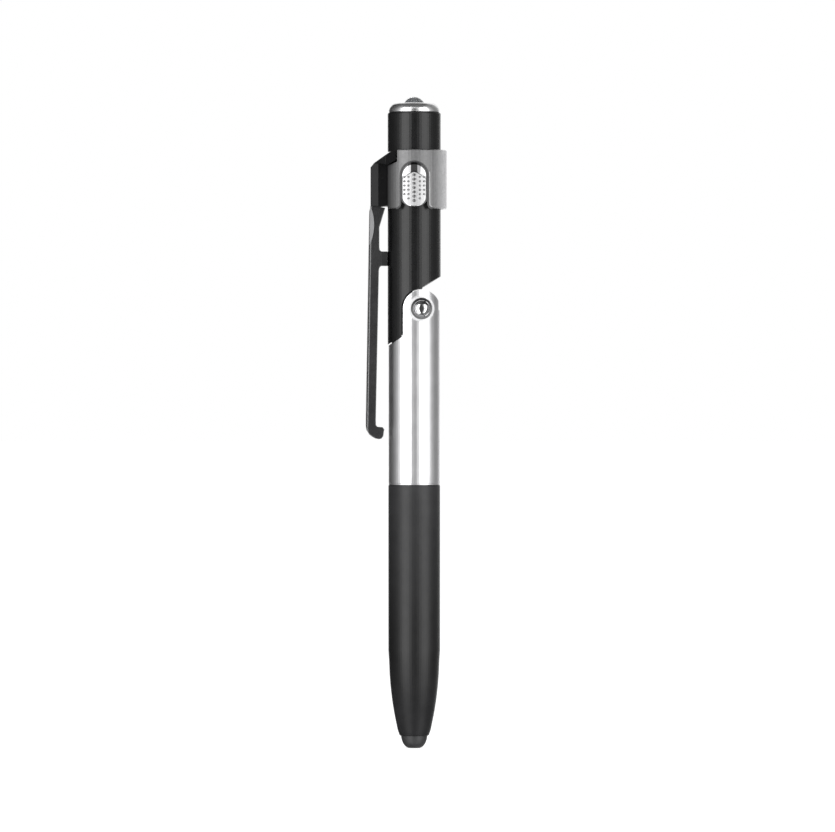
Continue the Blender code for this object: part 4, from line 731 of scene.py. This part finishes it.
FLOOR_REACH = 30.0
FLOOR_GLOW = 0.62
WORLD_LIGHT = 0.55
CARD_DISTANCE = 0.34
CARD_HALF_HEIGHT = 0.6
CARD_TURN = 15
LEVEL_CARD_HEIGHT = 0.62
LEVEL_CARD_LIGHT = 0.10
SOFTBOX_DISTANCE = 0.60
SOFTBOX_HEIGHT = 1.8

# Name, first and last angle round the pen, distance and light of the upright cards
CARDS = (
    ("card_left_edge", -59, -80, CARD_DISTANCE, 0.60),
    ("card_left_front", -80, -100, CARD_DISTANCE, 0.24),
    ("card_left", -100, -125, CARD_DISTANCE, 0.11),
    ("card_left_back", -125, -158, CARD_DISTANCE, 0.05),
    ("card_right_inner", 10.5, 27, CARD_DISTANCE, 0.55),
    ("card_right_edge", 69, 78, CARD_DISTANCE, 0.60),
    ("card_right_front", 78, 98, CARD_DISTANCE, 0.34),
    ("card_right", 98, 120, CARD_DISTANCE, 0.22),
    ("card_right_back", 120, 145, CARD_DISTANCE, 0.30),
    ("card_front", -14.0, 10.5, 0.50, 0.07),
)


def seen_rays(tree):
    """1 for camera, glossy and transmission rays, and 0 for those that light the object."""
    rays = tree.nodes.new("ShaderNodeLightPath")
    total = rays.outputs["Is Camera Ray"]
    for kind in ("Is Glossy Ray", "Is Transmission Ray"):
        step = tree.nodes.new("ShaderNodeMath")
        step.operation = "MAXIMUM"
        tree.links.new(total, step.inputs[0])
        tree.links.new(rays.outputs[kind], step.inputs[1])
        total = step.outputs[0]
    return total


def empty_tree(owner, output):
    """The cleared node tree of a material or world, and the surface socket of its new output."""
    owner.use_nodes = True
    tree = owner.node_tree
    tree.nodes.clear()
    return tree, tree.nodes.new(output).inputs["Surface"]


def floor_material():
    """Matt white, with a glow for camera, glossy and transmission rays alone."""
    made = bpy.data.materials.new("floor_white")
    tree, surface = empty_tree(made, "ShaderNodeOutputMaterial")
    diffuse = tree.nodes.new("ShaderNodeBsdfDiffuse")
    diffuse.inputs["Color"].default_value = (0.80, 0.80, 0.80, 1.0)
    power = tree.nodes.new("ShaderNodeMath")
    power.operation = "MULTIPLY"
    power.inputs[1].default_value = FLOOR_GLOW
    tree.links.new(seen_rays(tree), power.inputs[0])
    shine = tree.nodes.new("ShaderNodeEmission")
    tree.links.new(power.outputs[0], shine.inputs["Strength"])
    both = tree.nodes.new("ShaderNodeAddShader")
    tree.links.new(diffuse.outputs[0], both.inputs[0])
    tree.links.new(shine.outputs[0], both.inputs[1])
    tree.links.new(both.outputs[0], surface)
    return made


def card_material(name, light):
    """Even light that no lamp sampling uses."""
    made = bpy.data.materials.new(name)
    tree, surface = empty_tree(made, "ShaderNodeOutputMaterial")
    shader = tree.nodes.new("ShaderNodeEmission")
    shader.inputs["Strength"].default_value = light
    tree.links.new(shader.outputs[0], surface)
    made.cycles.emission_sampling = "NONE"
    return made


def stage_plane(name, corners, material, *unseen_by):
    """A plane of the stage that casts no shadow, unseen by some kinds of ray."""
    mesh = bpy.data.meshes.new(name)
    mesh.from_pydata(corners, [], [(0, 1, 2, 3)])
    mesh.materials.append(material)
    made = bpy.data.objects.new(name, mesh)
    bpy.context.scene.collection.objects.link(made)
    for rays in ("shadow", *unseen_by):
        setattr(made, "visible_" + rays, False)


def card_plane(name, corners, material):
    """A stage plane that only glossy rays see."""
    stage_plane(name, corners, material, "camera", "diffuse", "transmission")


def level_corners(reach, height):
    """The corners of a level square round the pen's axis."""
    return [(-reach, -reach, height), (reach, -reach, height), (reach, reach, height), (-reach, reach, height)]


def around(angle, distance, height):
    """A place at an angle round the pen, from the camera's direction towards +X."""
    turn = math.radians(angle)
    return Vector((math.sin(turn) * distance, -math.cos(turn) * distance, height))


def upright_card(name, start, end, distance, light):
    """An upright card between two angles round the pen, bent into flat planes."""
    material = card_material(name, light)
    steps = max(1, round(abs(end - start) / CARD_TURN))
    low, high = -CARD_HALF_HEIGHT, CARD_HALF_HEIGHT
    for i in range(steps):
        a = start + (end - start) * i / steps
        b = start + (end - start) * (i + 1) / steps
        corners = [around(a, distance, low), around(b, distance, low),
                   around(b, distance, high), around(a, distance, high)]
        card_plane(name + "_" + str(i), corners, material)


def level_card(name, height):
    """A level card over or under the pen."""
    card_plane(name, level_corners(CARD_DISTANCE, height), card_material(name, LEVEL_CARD_LIGHT))


def softbox(name, angle, width, power):
    """A tall soft lamp that faces the pen."""
    light = bpy.data.lights.new(name, "AREA")
    light.shape = "RECTANGLE"
    light.size = width
    light.size_y = SOFTBOX_HEIGHT
    light.energy = power
    made = bpy.data.objects.new(name, light)
    bpy.context.scene.collection.objects.link(made)
    made.location = around(angle, SOFTBOX_DISTANCE, 0.0)
    made.rotation_euler = made.location.to_track_quat("Z", "Y").to_euler()


def set_world():
    """White for camera, glossy and transmission rays, and a softer light on the object."""
    world = bpy.data.worlds.new("studio")
    bpy.context.scene.world = world
    tree, surface = empty_tree(world, "ShaderNodeOutputWorld")
    mixed = tree.nodes.new("ShaderNodeMixShader")
    tree.links.new(seen_rays(tree), mixed.inputs[0])
    for socket, strength in ((mixed.inputs[1], WORLD_LIGHT), (mixed.inputs[2], 1.0)):
        background = tree.nodes.new("ShaderNodeBackground")
        background.inputs["Color"].default_value = (1, 1, 1, 1)
        background.inputs["Strength"].default_value = strength
        tree.links.new(background.outputs[0], socket)
    tree.links.new(mixed.outputs[0], surface)
    world.cycles.sampling_method = "NONE"


def set_stage():
    """The floor, the cards that the glossy surfaces show, and two soft lamps."""
    stage_plane("floor", level_corners(FLOOR_REACH, 0), floor_material(), "glossy")
    for name, start, end, distance, light in CARDS:
        upright_card(name, start, end, distance, light)
    level_card("card_above", LEVEL_CARD_HEIGHT)
    level_card("card_below", -LEVEL_CARD_HEIGHT)
    softbox("softbox_left", angle=-39, width=0.437, power=5.10)
    softbox("softbox_right", angle=47, width=0.415, power=4.05)


def set_camera():
    """The photograph's view: level, from the front, and far enough for a long lens."""
    camera = bpy.data.cameras.new("camera")
    camera.lens = LENS
    camera.sensor_width = SENSOR
    camera.sensor_fit = "HORIZONTAL"
    camera.clip_start = 0.01
    camera.clip_end = 20.0
    made = bpy.data.objects.new("camera", camera)
    bpy.context.scene.collection.objects.link(made)
    distance = PHOTO_WIDTH / PIXELS_PER_METRE * LENS / SENSOR
    x = (PHOTO_WIDTH / 2 - AXIS_PIXEL) / PIXELS_PER_METRE
    z = (TIP_PIXEL - PHOTO_HEIGHT / 2) / PIXELS_PER_METRE
    made.location = (x, -distance, z)
    made.rotation_euler = (math.pi / 2, 0, 0)
    bpy.context.scene.camera = made


set_world()
set_stage()
set_camera()
bpy.context.scene.view_settings.view_transform = "Standard"
